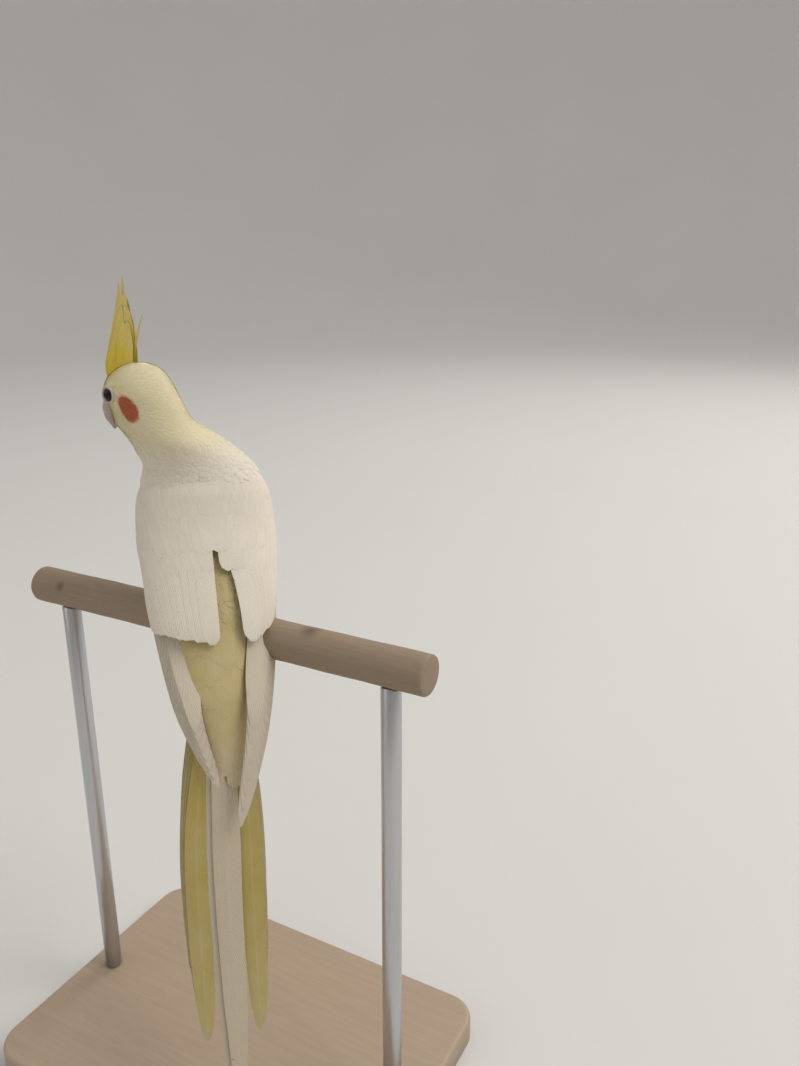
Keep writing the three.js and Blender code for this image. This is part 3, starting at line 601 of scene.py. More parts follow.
def lay_feathers(name, tree, points, normal, lie, values, uv, draw):
    """One mesh of small feathers that follow the skin from root to tip."""
    count = len(points)
    lie = along_skin(unit(lie + LEAF["stray"] * draw.standard_normal((count, 3))), normal)
    sizes = [values[key] * draw.uniform(*LEAF[key], count) for key in ("length", "half", "tip")]
    length, half, tip, bend = (size[:, None, None] for size in (*sizes, draw.uniform(*LEAF["bend"], count)))
    points, normal, lie = points[:, None, None], normal[:, None, None], lie[:, None, None]
    side = np.cross(lie, normal)
    t, c, width = LEAF_T[None, :, None], CROSS[None, None, :], LEAF_W[None, :, None]
    aside = width * half * c + bend * length * t * t
    plane = points + lie * (t * length)[..., None] + side * aside[..., None]
    base, outward = on_surface(tree, plane)
    outward = unit(outward + LEAF["upright"] * normal)
    lift = LEAF["root"] + (tip - LEAF["root"]) * t + LEAF["arch"] * half * (1 - c * c) * width
    top = base + outward * lift[..., None]
    thick = np.minimum(LEAF["thick"], LEAF["thick_share"] * half) * width
    under = top[:, :, UNDER] - outward[:, :, UNDER] * thick[..., None] * UNDER_DEPTH[:, None]
    rings = np.concatenate([top, under], 2)
    shade = np.concatenate([outward + SHADE_ROUND * c[..., None] * side, -outward[:, :, UNDER]], 2)
    index = np.arange(rings[..., 0].size).reshape(rings.shape[:3])
    ends = [index[:, 0][:, corners[::-1]] for corners in LEAF_END]
    ends += [index[:, -1][:, corners] for corners in LEAF_END]
    obj = mesh_object(name, rings.reshape(-1, 3), wall_quads(index), np.concatenate(ends),
                      normals=shade.reshape(-1, 3))
    patch = joined(LEAF_ROUND[None, :] * LEAF["patch"], (LEAF_T[:, None] - 0.5) * 2 * LEAF["patch"])
    set_uv(obj, (uv[:, None, None] + patch[None]).reshape(-1, 2))
    marks = markings(0.6 * rings + 0.4 * rings[:, -1:, 2:3])
    marks.update(tone=draw.random(count)[:, None, None], along=t, across=LEAF_ROUND[None, None])
    for key, mark in marks.items():
        set_attribute(obj, key, np.broadcast_to(mark, rings.shape[:3]))
    return obj


def clear_of(blockers, points, tips, values):
    """Which feathers aren't rooted in the bill, cere or lids. Those that would reach them are cut short."""
    keep = np.ones(len(points), bool)
    for n in range(len(points)):
        gap, tip_gap = (blockers.find_nearest(place[n].tolist())[3] for place in (points, tips))
        if gap < 0.12:
            keep[n] = False
        elif tip_gap < 0.7:
            values["length"][n] *= 0.5
            values["tip"][n] *= 0.7
    return keep


def build_coat(skin_tree, blockers):
    """The body's small feathers, in pieces from the tail's root up to the crown."""
    made = []
    for name, low, high, tries, seed in COAT_PIECES:
        draw = np.random.default_rng(seed)
        position, angle = scatter(draw, low, high, tries)
        points, normal, lie = coat_frame(position, angle)
        values = coat_values(position, points)
        keep = np.ones(len(points), bool)
        if high > 10:
            tips = points + lie * values["length"][:, None] * 0.9 + normal * 0.3
            keep = clear_of(blockers, points, tips, values)
        values = {key: value[keep] for key, value in values.items()}
        roots = [rooted[keep] for rooted in (points, normal, lie)]
        made.append(lay_feathers(name, skin_tree, *roots, values, skin_uv(position, angle)[keep], draw))
    return made


THIGH_COAT = {"round": 14, "length": 3.2, "half": 0.9, "tip": 0.45, "seed": 11}


def build_thigh_coat():
    """Short soft feathers down each thigh."""
    feathers, vertices, polygons = [], [], []
    for side in (-1, 1):
        line = thigh_line(side)
        rings = thigh_rings(side)
        rows, sides = rings.shape[:2]
        polygons += wall_quads(len(vertices) + np.arange(rows * sides).reshape(rows, sides)).tolist()
        vertices += rings.reshape(-1, 3).tolist()
        for row in range(1, rows):
            lie = unit(line[max(row - 2, 0)] - line[min(row + 1, rows - 1)])
            for k in range(THIGH_COAT["round"]):
                column = int((k + 0.5 * (row % 2)) / THIGH_COAT["round"] * sides) % sides
                root = rings[row, column]
                across = column / sides * THIGH_MAP["wide"] + THIGH_MAP["right"] * (side > 0) + 0.01
                uv = [across, THIGH_MAP["from"] + THIGH_MAP["deep"] * row / rows]
                feathers.append((root, unit(root - line[row]), lie, uv))
    points, normal, lie, uv = map(np.array, zip(*feathers))
    values = {key: np.full(len(points), THIGH_COAT[key]) for key in ("length", "half", "tip")}
    tree = BVHTree.FromPolygons(vertices, polygons)
    draw = np.random.default_rng(THIGH_COAT["seed"])
    return lay_feathers("coat_thighs", tree, points, normal, lie, values, uv, draw)


# Long feathers, each a closed blade with a raised shaft, laid on its own surface

BLADE_S = np.array([-1, -0.8, -0.5, -0.2, -0.06, 0, 0.06, 0.2, 0.5, 0.8, 1])
OUTLINES = {
    "covert": ([0, 0.12, 0.35, 0.7, 0.88, 0.95, 0.985, 1], [0.5, 0.8, 0.96, 1, 0.9, 0.7, 0.45, 0.1]),
    "flight": ([0, 0.1, 0.3, 0.7, 0.92, 0.97, 0.99, 1], [0.5, 0.75, 0.95, 1, 0.94, 0.8, 0.62, 0.3]),
    "primary": ([0, 0.1, 0.33, 0.7, 0.86, 0.94, 1], [0.6, 0.8, 0.96, 0.92, 0.68, 0.44, 0.08]),
    "tail": ([0, 0.1, 0.33, 0.7, 0.88, 0.95, 0.985, 1], [0.6, 0.8, 0.98, 1, 0.84, 0.6, 0.36, 0.08]),
    "middle_tail": ([0, 0.1, 0.33, 0.7, 0.88, 0.96, 1], [0.6, 0.85, 1, 0.88, 0.62, 0.38, 0.06]),
    "crest": ([0, 0.1, 0.33, 0.7, 0.9, 1], [0.5, 0.75, 0.95, 0.8, 0.45, 0.06]),
}

# Round a blade: places across, places on its cell of the map, and how thick it is towards the rims.
BLADE_ROUND = np.concatenate([BLADE_S, BLADE_S[::-1]])
BLADE_U = np.concatenate([(BLADE_S + 1) / 4, 0.52 + (BLADE_S[::-1] + 1) / 4 * 0.96])
BLADE_THICK = 0.35 + 0.65 * (1 - BLADE_S ** 4)
CELL_MARGIN = 0.06

# Splits in the vanes: where they lie, how deep and how narrow they are, and how far each place is drawn in.
SPLIT = {"at": (0.4, 0.96), "deep": (0.12, 0.4), "narrow": 0.1,
         "pull": np.array([1, 0.45, 0, 0, 0, 0, 0, 0, 0, 0.45, 1])}

# The share of a blade's shading that comes from its own shape, and not from the plumage it lies in.
OWN_SHADE = 0.5


def grid_normals(points):
    return unit(np.cross(np.gradient(points, axis=1), np.gradient(points, axis=0)))


def blade(built, surface, outline, number, cells, draw, rows, thick, shaft, frays, facing=None, shaded=False,
          **marks):
    """surface(t, s) gives a point for each t along and s across, where s also bears the outline's width.

    The upper side looks away from the facing point. A shaded blade takes part of its light from a smoother
    surface, which is surface(t, s, flat=True). Its place on the map is one of cells by cells, by its number.
    """
    splits = [(draw.uniform(*SPLIT["at"]), draw.integers(0, 2), draw.uniform(*SPLIT["deep"]))
              for _ in range(frays)]
    narrow = SPLIT["narrow"] / rows
    steps = [np.linspace(0, 1, rows) ** 0.85] + [[at - narrow, at, at + narrow] for at, _, _ in splits]
    t = np.sort(np.concatenate(steps))
    pull = np.ones((len(t), len(BLADE_S)))
    for at, left, deep in splits:
        vane = BLADE_S < 0 if left else BLADE_S > 0
        pull[np.argmin(np.abs(t - at))] -= deep * SPLIT["pull"] * vane
    s = BLADE_S[None] * np.interp(t, *OUTLINES[outline])[:, None] * pull
    t = t[:, None]
    tt = np.broadcast_to(t, s.shape)
    top = surface(tt, s)
    if facing is not None and np.sum(grid_normals(top) * (top - facing)) < 0:
        s = -s
        top = surface(tt, s)
    normal = grid_normals(top)
    ridge = shaft * hump(BLADE_S[None], 0.06) * (1 - 0.75 * t)
    top = top + normal * ridge[..., None]
    under = top - normal * (ridge * 1.2 + thick * BLADE_THICK * (1 - 0.5 * t))[..., None]
    shade = grid_normals(top)
    if shaded:
        shade = unit(OWN_SHADE * shade + (1 - OWN_SHADE) * grid_normals(surface(tt, s, flat=True)))
    margin = CELL_MARGIN / cells
    size = 1 / cells - 2 * margin
    uv = joined(number % cells / cells + margin + size * BLADE_U, number // cells / cells + margin + size * t)
    given = {key: value(t) if callable(value) else value for key, value in marks.items()}
    built.loft(np.concatenate([top, under[:, ::-1]], 1), uv, np.concatenate([shade, -shade[:, ::-1]], 1),
               along=t, across=BLADE_ROUND, tone=draw.random(), **given)


def mirrored(angle, side):
    return angle if side < 0 else 180 - angle


def on_wing(position, angle, side, lift=0):
    return on_ring(WING_RINGS, position, mirrored(angle, side), lift)


def degree_wide(position, angle, side):
    """How far one degree reaches round the wings' rings."""
    return np.linalg.norm(on_wing(position, angle + 1, side) - on_wing(position, angle, side), axis=-1)


# How high the feathers' tips lie over the wings' rings, by position, and how much lower their roots lie.
TIP_HEIGHT = ([2.7, 4.5, 6, 7.6, 8.4, 9.6], [-2.3, -1.5, -0.6, -0.15, -0.5, -2.0])
ROOT_DROP = 0.36
TIP_TUCK = 0.13


def tucked(t):
    """How far a wing feather lies below the plumage's outer surface, at its root and again at its tip."""
    return ROOT_DROP * (1 - t) + TIP_TUCK * smoothstep(0.72, 1.0, t)


def buried(t, deep, share):
    """How far a feather goes under the plumage over the first share of its length."""
    return deep * np.maximum(0, 1 - t / share) ** 2


# The wing's front edge rolls in against the body by this much, over this many degrees.
EDGE = {"deep": 2.2, "wide": 15}

# Rows of wing feathers: count, positions of roots and tips at the front and back of the row, the angles
# there, half width, the slant across each feather, and how far the right wing's tips stay from the midline.
WING_ROWS = [
    {"count": 16, "root": [9.0, 9.2], "tip": [7.3, 7.4], "root_angle": [152, 238], "tip_angle": [158, 246],
     "half": 3.0, "tilt": 0.05, "open": 0, "outline": "covert"},
    {"count": 16, "root": [8.3, 8.4], "tip": [6.5, 6.6], "root_angle": [156, 246], "tip_angle": [162, 254],
     "half": 3.2, "tilt": 0.06, "open": 0, "outline": "covert"},
    {"count": 16, "root": [7.6, 7.7], "tip": [5.5, 5.6], "root_angle": [158, 254], "tip_angle": [164, 264],
     "half": 3.5, "tilt": 0.07, "open": 2, "outline": "covert"},
    {"count": 15, "root": [6.8, 6.9], "tip": [4.6, 4.6], "root_angle": [162, 258], "tip_angle": [170, 267],
     "half": 3.8, "tilt": 0.08, "open": 10, "outline": "covert"},
    {"count": 14, "root": [5.9, 6.1], "tip": [3.4, 2.95], "root_angle": [172, 260], "tip_angle": [188, 267],
     "half": 4.3, "tilt": 0.14, "open": 38, "outline": "flight"},
]
PRIMARIES = {"count": 7, "root": [5.5, 5.8], "root_angle": [186, 212], "half": 4.7, "layer": 0.42, "sink": -4}

# Each wing's primaries bend and end at these places, from the outer feather's to the inner one's.
PRIMARY_PATHS = {
    -1: [([-15.4, -29, -16], [-12.5, -29.5, -12]), ([-4.6, -40.5, -50], [-11.5, -35, -27])],
    1: [([14.4, -33, -18], [12, -32.5, -14]), ([2.4, -45.5, -65], [10.5, -37, -30])],
}
MIDLINE = {"x": 0.5, "apart": 0.2}
IN_BREAST = np.array([0, 10, 30])
AHEAD = np.array([0, 200, -60])


def shoulder_blend(position, angle):
    """The wings' smooth surface, which turns into the body's at the shoulders."""
    share = smoothstep(7.2, 9.2, position)[..., None]
    wing = on_ring(WING_RINGS, position, angle)
    return wing * (1 - share) + skin_point(position - WING_AHEAD, angle) * share


def wing_feather(side, row, v, draw):
    """The surface of one feather of a wing's row, v of the way from the row's front to its back."""
    root, tip, start, end = (part_way(v, row[key]) for key in ("root", "tip", "root_angle", "tip_angle"))
    tip = tip + 0.05 * (draw.random() - 0.5)
    end = end - (row["open"] * v if side > 0 else 0)
    settle = 0.04 * (draw.random() - 0.5)

    def surface(t, s, flat=False):
        position = root + (tip - root) * t
        angle = start + (end - start) * t
        per_degree = degree_wide(position, angle, side)
        turn = angle + s * row["half"] / per_degree
        if flat:
            return shoulder_blend(position, mirrored(turn, side))
        first, last = row["root_angle"][0], row["tip_angle"][0]
        front = first + (last - first) * t - row["half"] / per_degree
        rolled = EDGE["deep"] * (1 - np.clip((turn - front) / EDGE["wide"], 0, 1)) ** 2
        lift = (np.interp(position, *TIP_HEIGHT) - tucked(t) + settle - buried(t, 2.0, 0.3) - rolled
                - row["tilt"] * s - 0.004 * (s * row["half"]) ** 2 * t)
        points = on_wing(position, turn, side, lift)
        beyond = np.minimum if side < 0 else np.maximum
        points[..., 0] = beyond(points[..., 0], MIDLINE["x"] + side * MIDLINE["apart"])
        return points

    return surface


def primary_feather(side, k):
    """The surface of one of the long feathers of the wing's tip, the outer one first."""
    v = k / (PRIMARIES["count"] - 1)
    half = PRIMARIES["half"]
    position, angle = (part_way(v, PRIMARIES[key]) for key in ("root", "root_angle"))
    root = on_wing(position, angle, side, PRIMARIES["sink"])
    bend, tip = (np.array(outer) * (1 - v) + np.array(inner) * v for outer, inner in PRIMARY_PATHS[side])
    line = curve_points([root, bend, tip], 60)

    def surface(t, s):
        points = along_line(line, t)
        points[..., 1] -= PRIMARIES["layer"] * k * np.minimum(1, 3 * t)
        across = unit(joined(1.0, side * (0.8 - 0.7 * np.minimum(1, 1.6 * t)), 0.0))
        points += across * (-side * s * half)[..., None]
        points[..., 1] -= 0.12 * half * (1 - s ** 2)
        return points

    return surface


def build_wing(side):
    draw = np.random.default_rng(21 if side < 0 else 22)
    built = Builder()
    cells = 9
    number = 0
    for row in WING_ROWS:
        for k in range(row["count"]):
            surface = wing_feather(side, row, k / (row["count"] - 1), draw)
            blade(built, surface, row["outline"], number, cells, draw, rows=20, thick=0.09, shaft=0.03,
                  frays=1, facing=IN_BREAST, shaded=True, yellow=0.0, dusk=0.0)
            number += 1
    # The primaries take half the beige tone, which is partly painted shade for the light falling off at the
    # wing tips.
    for k in range(PRIMARIES["count"]):
        blade(built, primary_feather(side, k), "primary", number + k, cells, draw, rows=40, thick=0.16,
              shaft=0.08, frays=2, facing=AHEAD, yellow=0.05, dusk=0.5)
    return built.make("wing_feathers_" + SIDES[side])


# Rows of feathers over the back between the wings: root and tip positions at the midline and at the sides.
BACK_ROWS = [
    {"root": 9.8, "tip": [8.2, 8.1]},
    {"root": 9.3, "tip": [7.6, 7.45]},
    {"root": 8.7, "tip": [7.0, 6.8]},
    {"root": 8.1, "tip": [6.4, 6.1]},
    {"root": 7.5, "tip": [5.75, 5.5]},
    {"root": 7.0, "tip": [5.1, 5.3]},
]
BACK = {"count": 16, "from": 222, "to": 318, "half": 3.3, "over": 0.08, "tilt": 0.04}


def back_feather(row, around, tip, sense):
    """The surface of one feather of the back, slanted by its side of the midline."""

    def surface(t, s, flat=False):
        position = row["root"] + (tip - row["root"]) * t
        angle = around + 0 * t
        turn = angle + s * BACK["half"] / degree_wide(position, angle, -1)
        if flat:
            return shoulder_blend(position, turn)
        height = np.interp(position, *TIP_HEIGHT) + BACK["over"] - tucked(t)
        return on_ring(WING_RINGS, position, turn, height - buried(t, 2.2, 0.3) - BACK["tilt"] * s * sense)

    return surface


def build_back():
    draw = np.random.default_rng(27)
    built = Builder()
    number = 0
    for index, row in enumerate(BACK_ROWS):
        for k in range(BACK["count"]):
            v = (k + 0.5 * (index % 2)) / (BACK["count"] - 0.5)
            around = BACK["from"] + (BACK["to"] - BACK["from"]) * v + draw.uniform(-1.5, 1.5)
            beside = abs(2 * v - 1)
            tip = row["tip"][0] + (row["tip"][1] - row["tip"][0]) * beside ** 2 + draw.uniform(-0.08, 0.08)
            surface = back_feather(row, around, tip, 1 if v < 0.5 else -1)
            blade(built, surface, "covert", number, 9, draw, rows=16, thick=0.09, shaft=0.03, frays=1,
                  facing=IN_BREAST, shaded=True)
            number += 1
    return built.make("back_feathers")


TAIL_UP = -19.0
TAIL_SPREAD = 1.1
TAIL_PAIRS = [
    {"tip": -190, "out": 1.2, "half": 5.5, "depth": 0},
    {"tip": -159, "out": 10.6, "half": 4.5, "depth": 1.5},
    {"tip": -150, "out": 11.0, "half": 4.7, "depth": 2.6},
    {"tip": -140, "out": 11.8, "half": 4.7, "depth": 3.7},
    {"tip": -124, "out": 12.2, "half": 4.5, "depth": 4.8},
    {"tip": -104, "out": 12.4, "half": 4.1, "depth": 5.9},
]
TAIL_LINE = [[-2.2, -30, -16], [-3.2, -36, -50], [-5, -44, -98], [-5.4, -50.5, -146], [-6, -56, -192]]

# A soft core fills the fan's root: its middle line, and its half width and half depth at even steps.
TAIL_CORE = {"line": [[-1.8, -27.5, -12], [-2.2, -31.5, -34], [-3, -36.5, -62]],
             "wide": [9.6, 9.0, 7.4, 4.4, 1.5], "deep": [6.0, 5.2, 3.6, 2.2, 0.8],
             "rows": 30, "sides": 40, "map": (0.76, 0.99)}


def tail_feather(line, k, side):
    """The surface of one feather of a tail pair, where pair 0 is the middle one."""
    pair = TAIL_PAIRS[k]
    half = pair["half"]
    depth = pair["depth"] if k else 0.9 * (side < 0)
    near = TAIL_SPREAD * (k + 0.6)

    def surface(t, s):
        z = TAIL_UP - 3 + (pair["tip"] - TAIL_UP + 3) * t
        x, y = (np.interp(-z, -line[:, 2], line[:, i]) for i in (0, 1))
        fan = 1 - (1 - np.clip((TAIL_UP - z) / 70, 0, 1)) ** 2
        out = near + (pair["out"] - near) * fan
        arch = 0.1 * half * (1 - s * s)
        return np.stack([x + side * out + s * half, y + depth - arch + side * 0.06 * s * half, z], -1)

    return surface


def build_tail():
    draw = np.random.default_rng(31)
    built = Builder()
    line = curve_points(TAIL_LINE, 200)
    for k in range(len(TAIL_PAIRS)):
        # The middle pair takes most of the beige tone, which is partly painted shade for the light falling
        # off down the tail.
        outline, strength, dusk = ("tail", 0.86, 0.0) if k else ("middle_tail", 0.24, 0.75)
        for side in (-1, 1):
            blade(built, tail_feather(line, k, side), outline, 2 * k + (side > 0), 4, draw, rows=64,
                  thick=0.3, shaft=0.14, frays=4, facing=AHEAD,
                  yellow=lambda t: strength + 0.1 * np.sin(t * 2.5 + k), dusk=dusk)
    rows = TAIL_CORE["rows"]
    core = curve_points(TAIL_CORE["line"], rows)
    shares = [0, 0.25, 0.5, 0.75, 1]
    wide, deep = (np.interp(np.linspace(0, 1, rows), shares, TAIL_CORE[key]) for key in ("wide", "deep"))
    rings = tube_rings(core, wide, deep, [1, 0, 0], TAIL_CORE["sides"])
    uv = uv_grid(*(np.linspace(*TAIL_CORE["map"], TAIL_CORE[key]) for key in ("sides", "rows")))
    built.loft(rings, uv, unit(rings - core[:, None]), along=0.5, across=0.5, tone=0.5, yellow=0.5, dusk=0.0)
    return built.make("tail_feathers")


# Tail coverts lie over the roots of the tail, on a surface between the body's end and the fan.
TAIL_COVERTS = {"rows": 10, "count": 15, "top": 18.0, "bottom": -26.5, "length": 22.0, "half": 2.7}

# That surface's half width, half depth and middle, by how far below the dowel's middle a place lies.
TAIL_ROOT = {
    "wide": ([-18, -4, 14, 30, 45, 62], [16.5, 13.4, 12.2, 10.4, 6.8, 2.6]),
    "deep": ([-14, -4, 6, 20, 34, 50, 62], [9.0, 8.4, 7.6, 6.4, 4.6, 2.6, 2.0]),
    "x": ([-14, -4, 22, 45, 62], [-0.8, -1.5, -1.6, 0.2, 0.8]),
    "y": ([-14, -4], [-16.6, -22.9]),
}


def tail_covert(line, start, around, length):
    """The surface of one covert, at an angle round the tail's root."""
    below, places = TAIL_ROOT["y"]
    middle = np.append(below, -line[:, 2]), np.append(places, line[:, 1])

    def surface(t, s, flat=False):
        z = start - length * t
        wide, deep, x = (np.interp(-z, *TAIL_ROOT[key]) for key in ("wide", "deep", "x"))
        y = np.interp(-z, *middle)
        angle = np.radians(around) + s * TAIL_COVERTS["half"] / np.maximum(0.75 * wide, 4)
        lift = 0 if flat else 0.45 * t - buried(t, 1.6, 0.35)
        return np.stack([x + np.cos(angle) * (wide + lift), y + 1.6 + np.sin(angle) * (deep + lift), z], -1)

    return surface


def build_tail_coverts():
    draw = np.random.default_rng(33)
    built = Builder()
    line = curve_points(TAIL_LINE, 200)
    number = 0
    for row in range(TAIL_COVERTS["rows"]):
        v = row / (TAIL_COVERTS["rows"] - 1)
        start = TAIL_COVERTS["top"] + (TAIL_COVERTS["bottom"] - TAIL_COVERTS["top"]) * (1 - v)
        for k in range(TAIL_COVERTS["count"]):
            place = (k + 0.5 * (row % 2)) / TAIL_COVERTS["count"]
            around = 360 * place + draw.uniform(-4, 4)
            length = TAIL_COVERTS["length"] * draw.uniform(0.85, 1.15)
            surface = tail_covert(line, start + draw.uniform(-2.5, 2.5), around, length)
            blade(built, surface, "covert", number, 13, draw, rows=14, thick=0.09, shaft=0.02, frays=1,
                  facing=np.array([0, -20, start - length / 2]), shaded=True,
                  yellow=0.48 + 0.26 * min(1, v / 0.45) + 0.06 * draw.random())
            number += 1
    return built.make("tail_coverts")


# Crest feathers: root's forward place, tip's forward and upward place and half width, in the head's frame.
CREST_MIDDLE = [
    [12.4, 8.6, 29, 2.5], [11.5, 7.8, 32, 2.6], [10.6, 7, 35, 2.8], [9.6, 6.2, 38, 2.7],
    [8.4, 6.3, 43.8, 1.6], [7.5, 4.9, 40.5, 2.5], [6.4, 4.3, 46.2, 1.5], [5.3, 3.9, 40.5, 2.5],
    [4.2, 3.4, 38, 2.7], [3.2, 2.8, 35, 2.5], [2.4, 1.9, 32, 2.4], [2.6, -3.4, 33, 0.6],
]
CREST_SIDE = [
    [11.4, 8.0, 22, 2.2], [10, 7.6, 26, 2.4], [8.3, 6.2, 28, 2.5], [6.6, 5, 30, 2.5], [5.0, 3.6, 27, 2.4],
    [3.4, 2.2, 24, 2.0],
]


def crest_feather(feather, side, odd, curl):
    """The surface of one crest feather. Those in the middle lean to either side by turns."""
    root_forward, tip_forward, tip_up, half = feather
    root_up = 12.5 - 0.035 * root_forward * root_forward
    lean = side * 1.5 + (0.2 if odd else -0.2)
    swell = 1.6 if root_forward > 8 else 0.4
    bend_forward = root_forward + 0.3 * (tip_forward - root_forward) + swell
    line = curve_points([[root_forward, lean, root_up - 2],
                         [bend_forward, lean * 0.9, root_up + 0.35 * (tip_up - root_up)],
                         [tip_forward, lean * 0.4, tip_up]], 50)
    slant = side * 0.14 if side else (0.05 if odd else -0.05)

    def surface(t, s):
        across = unit(joined(1.0, slant, -0.1 * t))
        points = along_line(line, t) + across * (s * half)[..., None]
        points[..., 1] += 0.06 * half * (1 - s * s) * (1 if slant > 0 else -1) + curl * t ** 3
        return in_head(points)

    return surface


def build_crest():
    draw = np.random.default_rng(41)
    built = Builder()
    jobs = [(feather, 0, k) for k, feather in enumerate(CREST_MIDDLE)]
    jobs += [(feather, side, k) for side in (-1, 1) for k, feather in enumerate(CREST_SIDE)]
    jobs += [([f[0] + 0.6, f[1] + 0.4, f[2] - 5, f[3]], side * 0.55, k + 1)
             for side in (-1, 1) for k, f in enumerate(CREST_MIDDLE[1:-1:2])]
    for number, (feather, side, k) in enumerate(jobs):
        surface = crest_feather(feather, side, k % 2, draw.uniform(-0.2, 0.2))
        blade(built, surface, "crest", number, 7, draw, rows=26, thick=0.14, shaft=0.04, frays=2,
              yellow=lambda t: 1.0 - 0.35 * t ** 2)
    return built.make("crest_feathers")


# Feet and claws are built along the dowel

TOES = [
    {"turn": -13, "arc": 118, "sense": 1},
    {"turn": 13, "arc": 108, "sense": 1},
    {"turn": -15, "arc": 112, "sense": -1},
    {"turn": 15, "arc": 92, "sense": -1},
]
CLAW_FROM = 0.74


def toe_rings(x, toe, low, high, rows, sides, scaly):
    """Rings round a part of a toe, which follows the dowel at a small gap and ends in a claw."""
    t = np.linspace(low, high, rows)[:, None]
    angle = circle(sides)[None]
    claw = np.maximum(0, (t - CLAW_FROM) / (1 - CLAW_FROM))
    plain = FOOT["toe"] + (FOOT["tip"] - FOOT["toe"]) * t
    radius = plain * (1 - 0.8 * claw)
    if scaly:
        scute = np.abs((t * 17) % 1 - 0.5) * 2
        upper = np.maximum(0, np.sin(angle))
        radius = radius * (1 - 0.09 * upper * scute ** 4 + 0.05 * np.cos(t / CLAW_FROM * 6 * np.pi))
    swing = np.radians(90 - toe["sense"] * (toe["arc"] * t - 6))
    shift = x + math.tan(math.radians(toe["turn"])) * PERCH["radius"] * math.radians(toe["arc"]) * t
    out = PERCH["radius"] + GAP + plain + 0.05 + 0.5 * claw * claw - 0.2 * claw + np.sin(angle) * radius
    across = shift + np.cos(angle) * radius * toe["sense"]
    return np.stack([across, np.cos(swing) * out, np.sin(swing) * out], -1)


def build_foot(side):
    x = side * FOOT["spread"]
    skin, claws = Builder(), Builder()
    for toe in TOES:
        skin.loft(toe_rings(x, toe, 0, CLAW_FROM + 0.03, 60, 20, True))
        claws.loft(toe_rings(x, toe, CLAW_FROM - 0.02, 1.0, 24, 16, False))
    low = PERCH["radius"] + GAP
    ankle = np.array([x, 0, low + FOOT["toe"]])
    knee = np.array([x * 0.96, side * 1.5, FOOT["top"]])
    line = curve_points([ankle, (ankle + knee) / 2, knee], 40)
    t = np.linspace(0, 1, 40)
    radius = np.interp(t, [0, 0.33, 1], [FOOT["pad"] - 0.7, FOOT["tarsus"] + 0.2, FOOT["tarsus"]])
    radius = radius * (1 + 0.05 * np.cos(t * 50))
    skin.loft(tube_rings(line, radius, radius, [1, 0, 0], 24))
    up, *level = ball_parts(20, 28, 0.05)
    ball = np.stack([*level, up], -1) * (FOOT["pad"] * np.array([1, 1.15, 0.8])) + ankle + [0, 0, 0.3]
    away = np.linalg.norm(ball[..., 1:], axis=-1)
    ball[..., 1:] *= np.where(away < low, low / np.maximum(away, 1e-6), 1)[..., None]
    skin.loft(ball[::-1])
    name = SIDES[side]
    return skin.make("foot_skin_" + name, perch_to_part), claws.make("claws_" + name, perch_to_part)


# Dowel and stand

# Knots: the place along the dowel, the angle round it in degrees, and the size.
KNOTS = [[-55, 40, 4.0], [48, 100, 5.0], [66, -30, 3.2], [-80, 150, 3.0]]
GRAIN = {"rows": 220, "sides": 96, "chamfer": 0.7, "rounding": 0.25, "inset": 0.1}


def build_perch():
    half, radius, chamfer, rounding = PERCH["half"], PERCH["radius"], GRAIN["chamfer"], GRAIN["rounding"]
    ends = np.array([half, half, half - rounding, half - chamfer])
    ends_edge = np.array([radius * 0.5, radius - chamfer, radius - rounding, radius])
    x = np.concatenate([-ends, np.linspace(-half + 2, half - 2, GRAIN["rows"]), ends[::-1]])[:, None]
    edge = np.concatenate([ends_edge, np.full(GRAIN["rows"], radius), ends_edge[::-1]])[:, None]
    angle = circle(GRAIN["sides"])[None]
    wave = (0.05 * np.sin(x * 0.21 + 2 * angle) + 0.03 * np.sin(x * 0.09 - 5 * angle)
            + 0.02 * np.sin(x * 0.6 + 9 * angle))
    dents = np.zeros_like(wave)
    for place, turn, size in KNOTS:
        round_it = np.abs((angle - math.radians(turn) + np.pi) % (2 * np.pi) - np.pi)
        apart = np.hypot(x - place, radius * round_it)
        dents += 0.1 * hump(apart, size) - 0.16 * hump(apart, size * 0.4)
    body = edge - GRAIN["inset"] + (wave + dents) * (edge > radius - 0.3)
    built = Builder()
    built.loft(joined(x, np.cos(angle) * body, np.sin(angle) * body))
    return built.make("dowel", perch_to_part)


def build_rod(side):
    """A rod from the base up to the dowel, with its top cut to the dowel's round at a small gap."""
    angle = circle(64)
    radius = ROD["radius"]
    bottom = BASE["thick"] + GAP - PERCH["height"]
    levels = [(radius - 0.5, bottom)] + [(radius, bottom + rise) for rise in (0.5, 60, 130)]
    for top_radius, drop in ((radius, 0.5), (radius - 0.3, 0.0)):
        y = np.sin(angle) * top_radius
        levels.append((top_radius, -np.sqrt((PERCH["radius"] + GAP) ** 2 - y ** 2) - drop))
    built = Builder()
    built.loft(np.array([joined(np.cos(angle) * ring + side * ROD["x"], np.sin(angle) * ring, z)
                         for ring, z in levels]))
    return built.make("rod_" + SIDES[side], perch_to_part)


# The base's edge: how far in and how high each ring lies, with a rounding of this radius from this height.
BASE_EDGE = {"foot": [(3.0, 0.0), (0.6, 0.0), (0.0, 0.6), (0.0, 9.6)], "radius": 1.8, "from": 10.2,
             "top": [(3.2, 12.0), (9.0, 12.0)]}


def base_outline(inset):
    """A rectangle with round corners, drawn in by the inset."""
    radius = BASE["corner"] - inset
    x, y = BASE["length"] / 2 - BASE["corner"], BASE["depth"] / 2 - BASE["corner"]
    parts = []
    for k, (sx, sy) in enumerate(((1, 1), (-1, 1), (-1, -1), (1, -1))):
        turn = np.linspace(0, np.pi / 2, 14) + k * np.pi / 2
        parts.append(joined(sx * x + np.cos(turn) * radius, sy * y + np.sin(turn) * radius))
    return np.concatenate(parts)


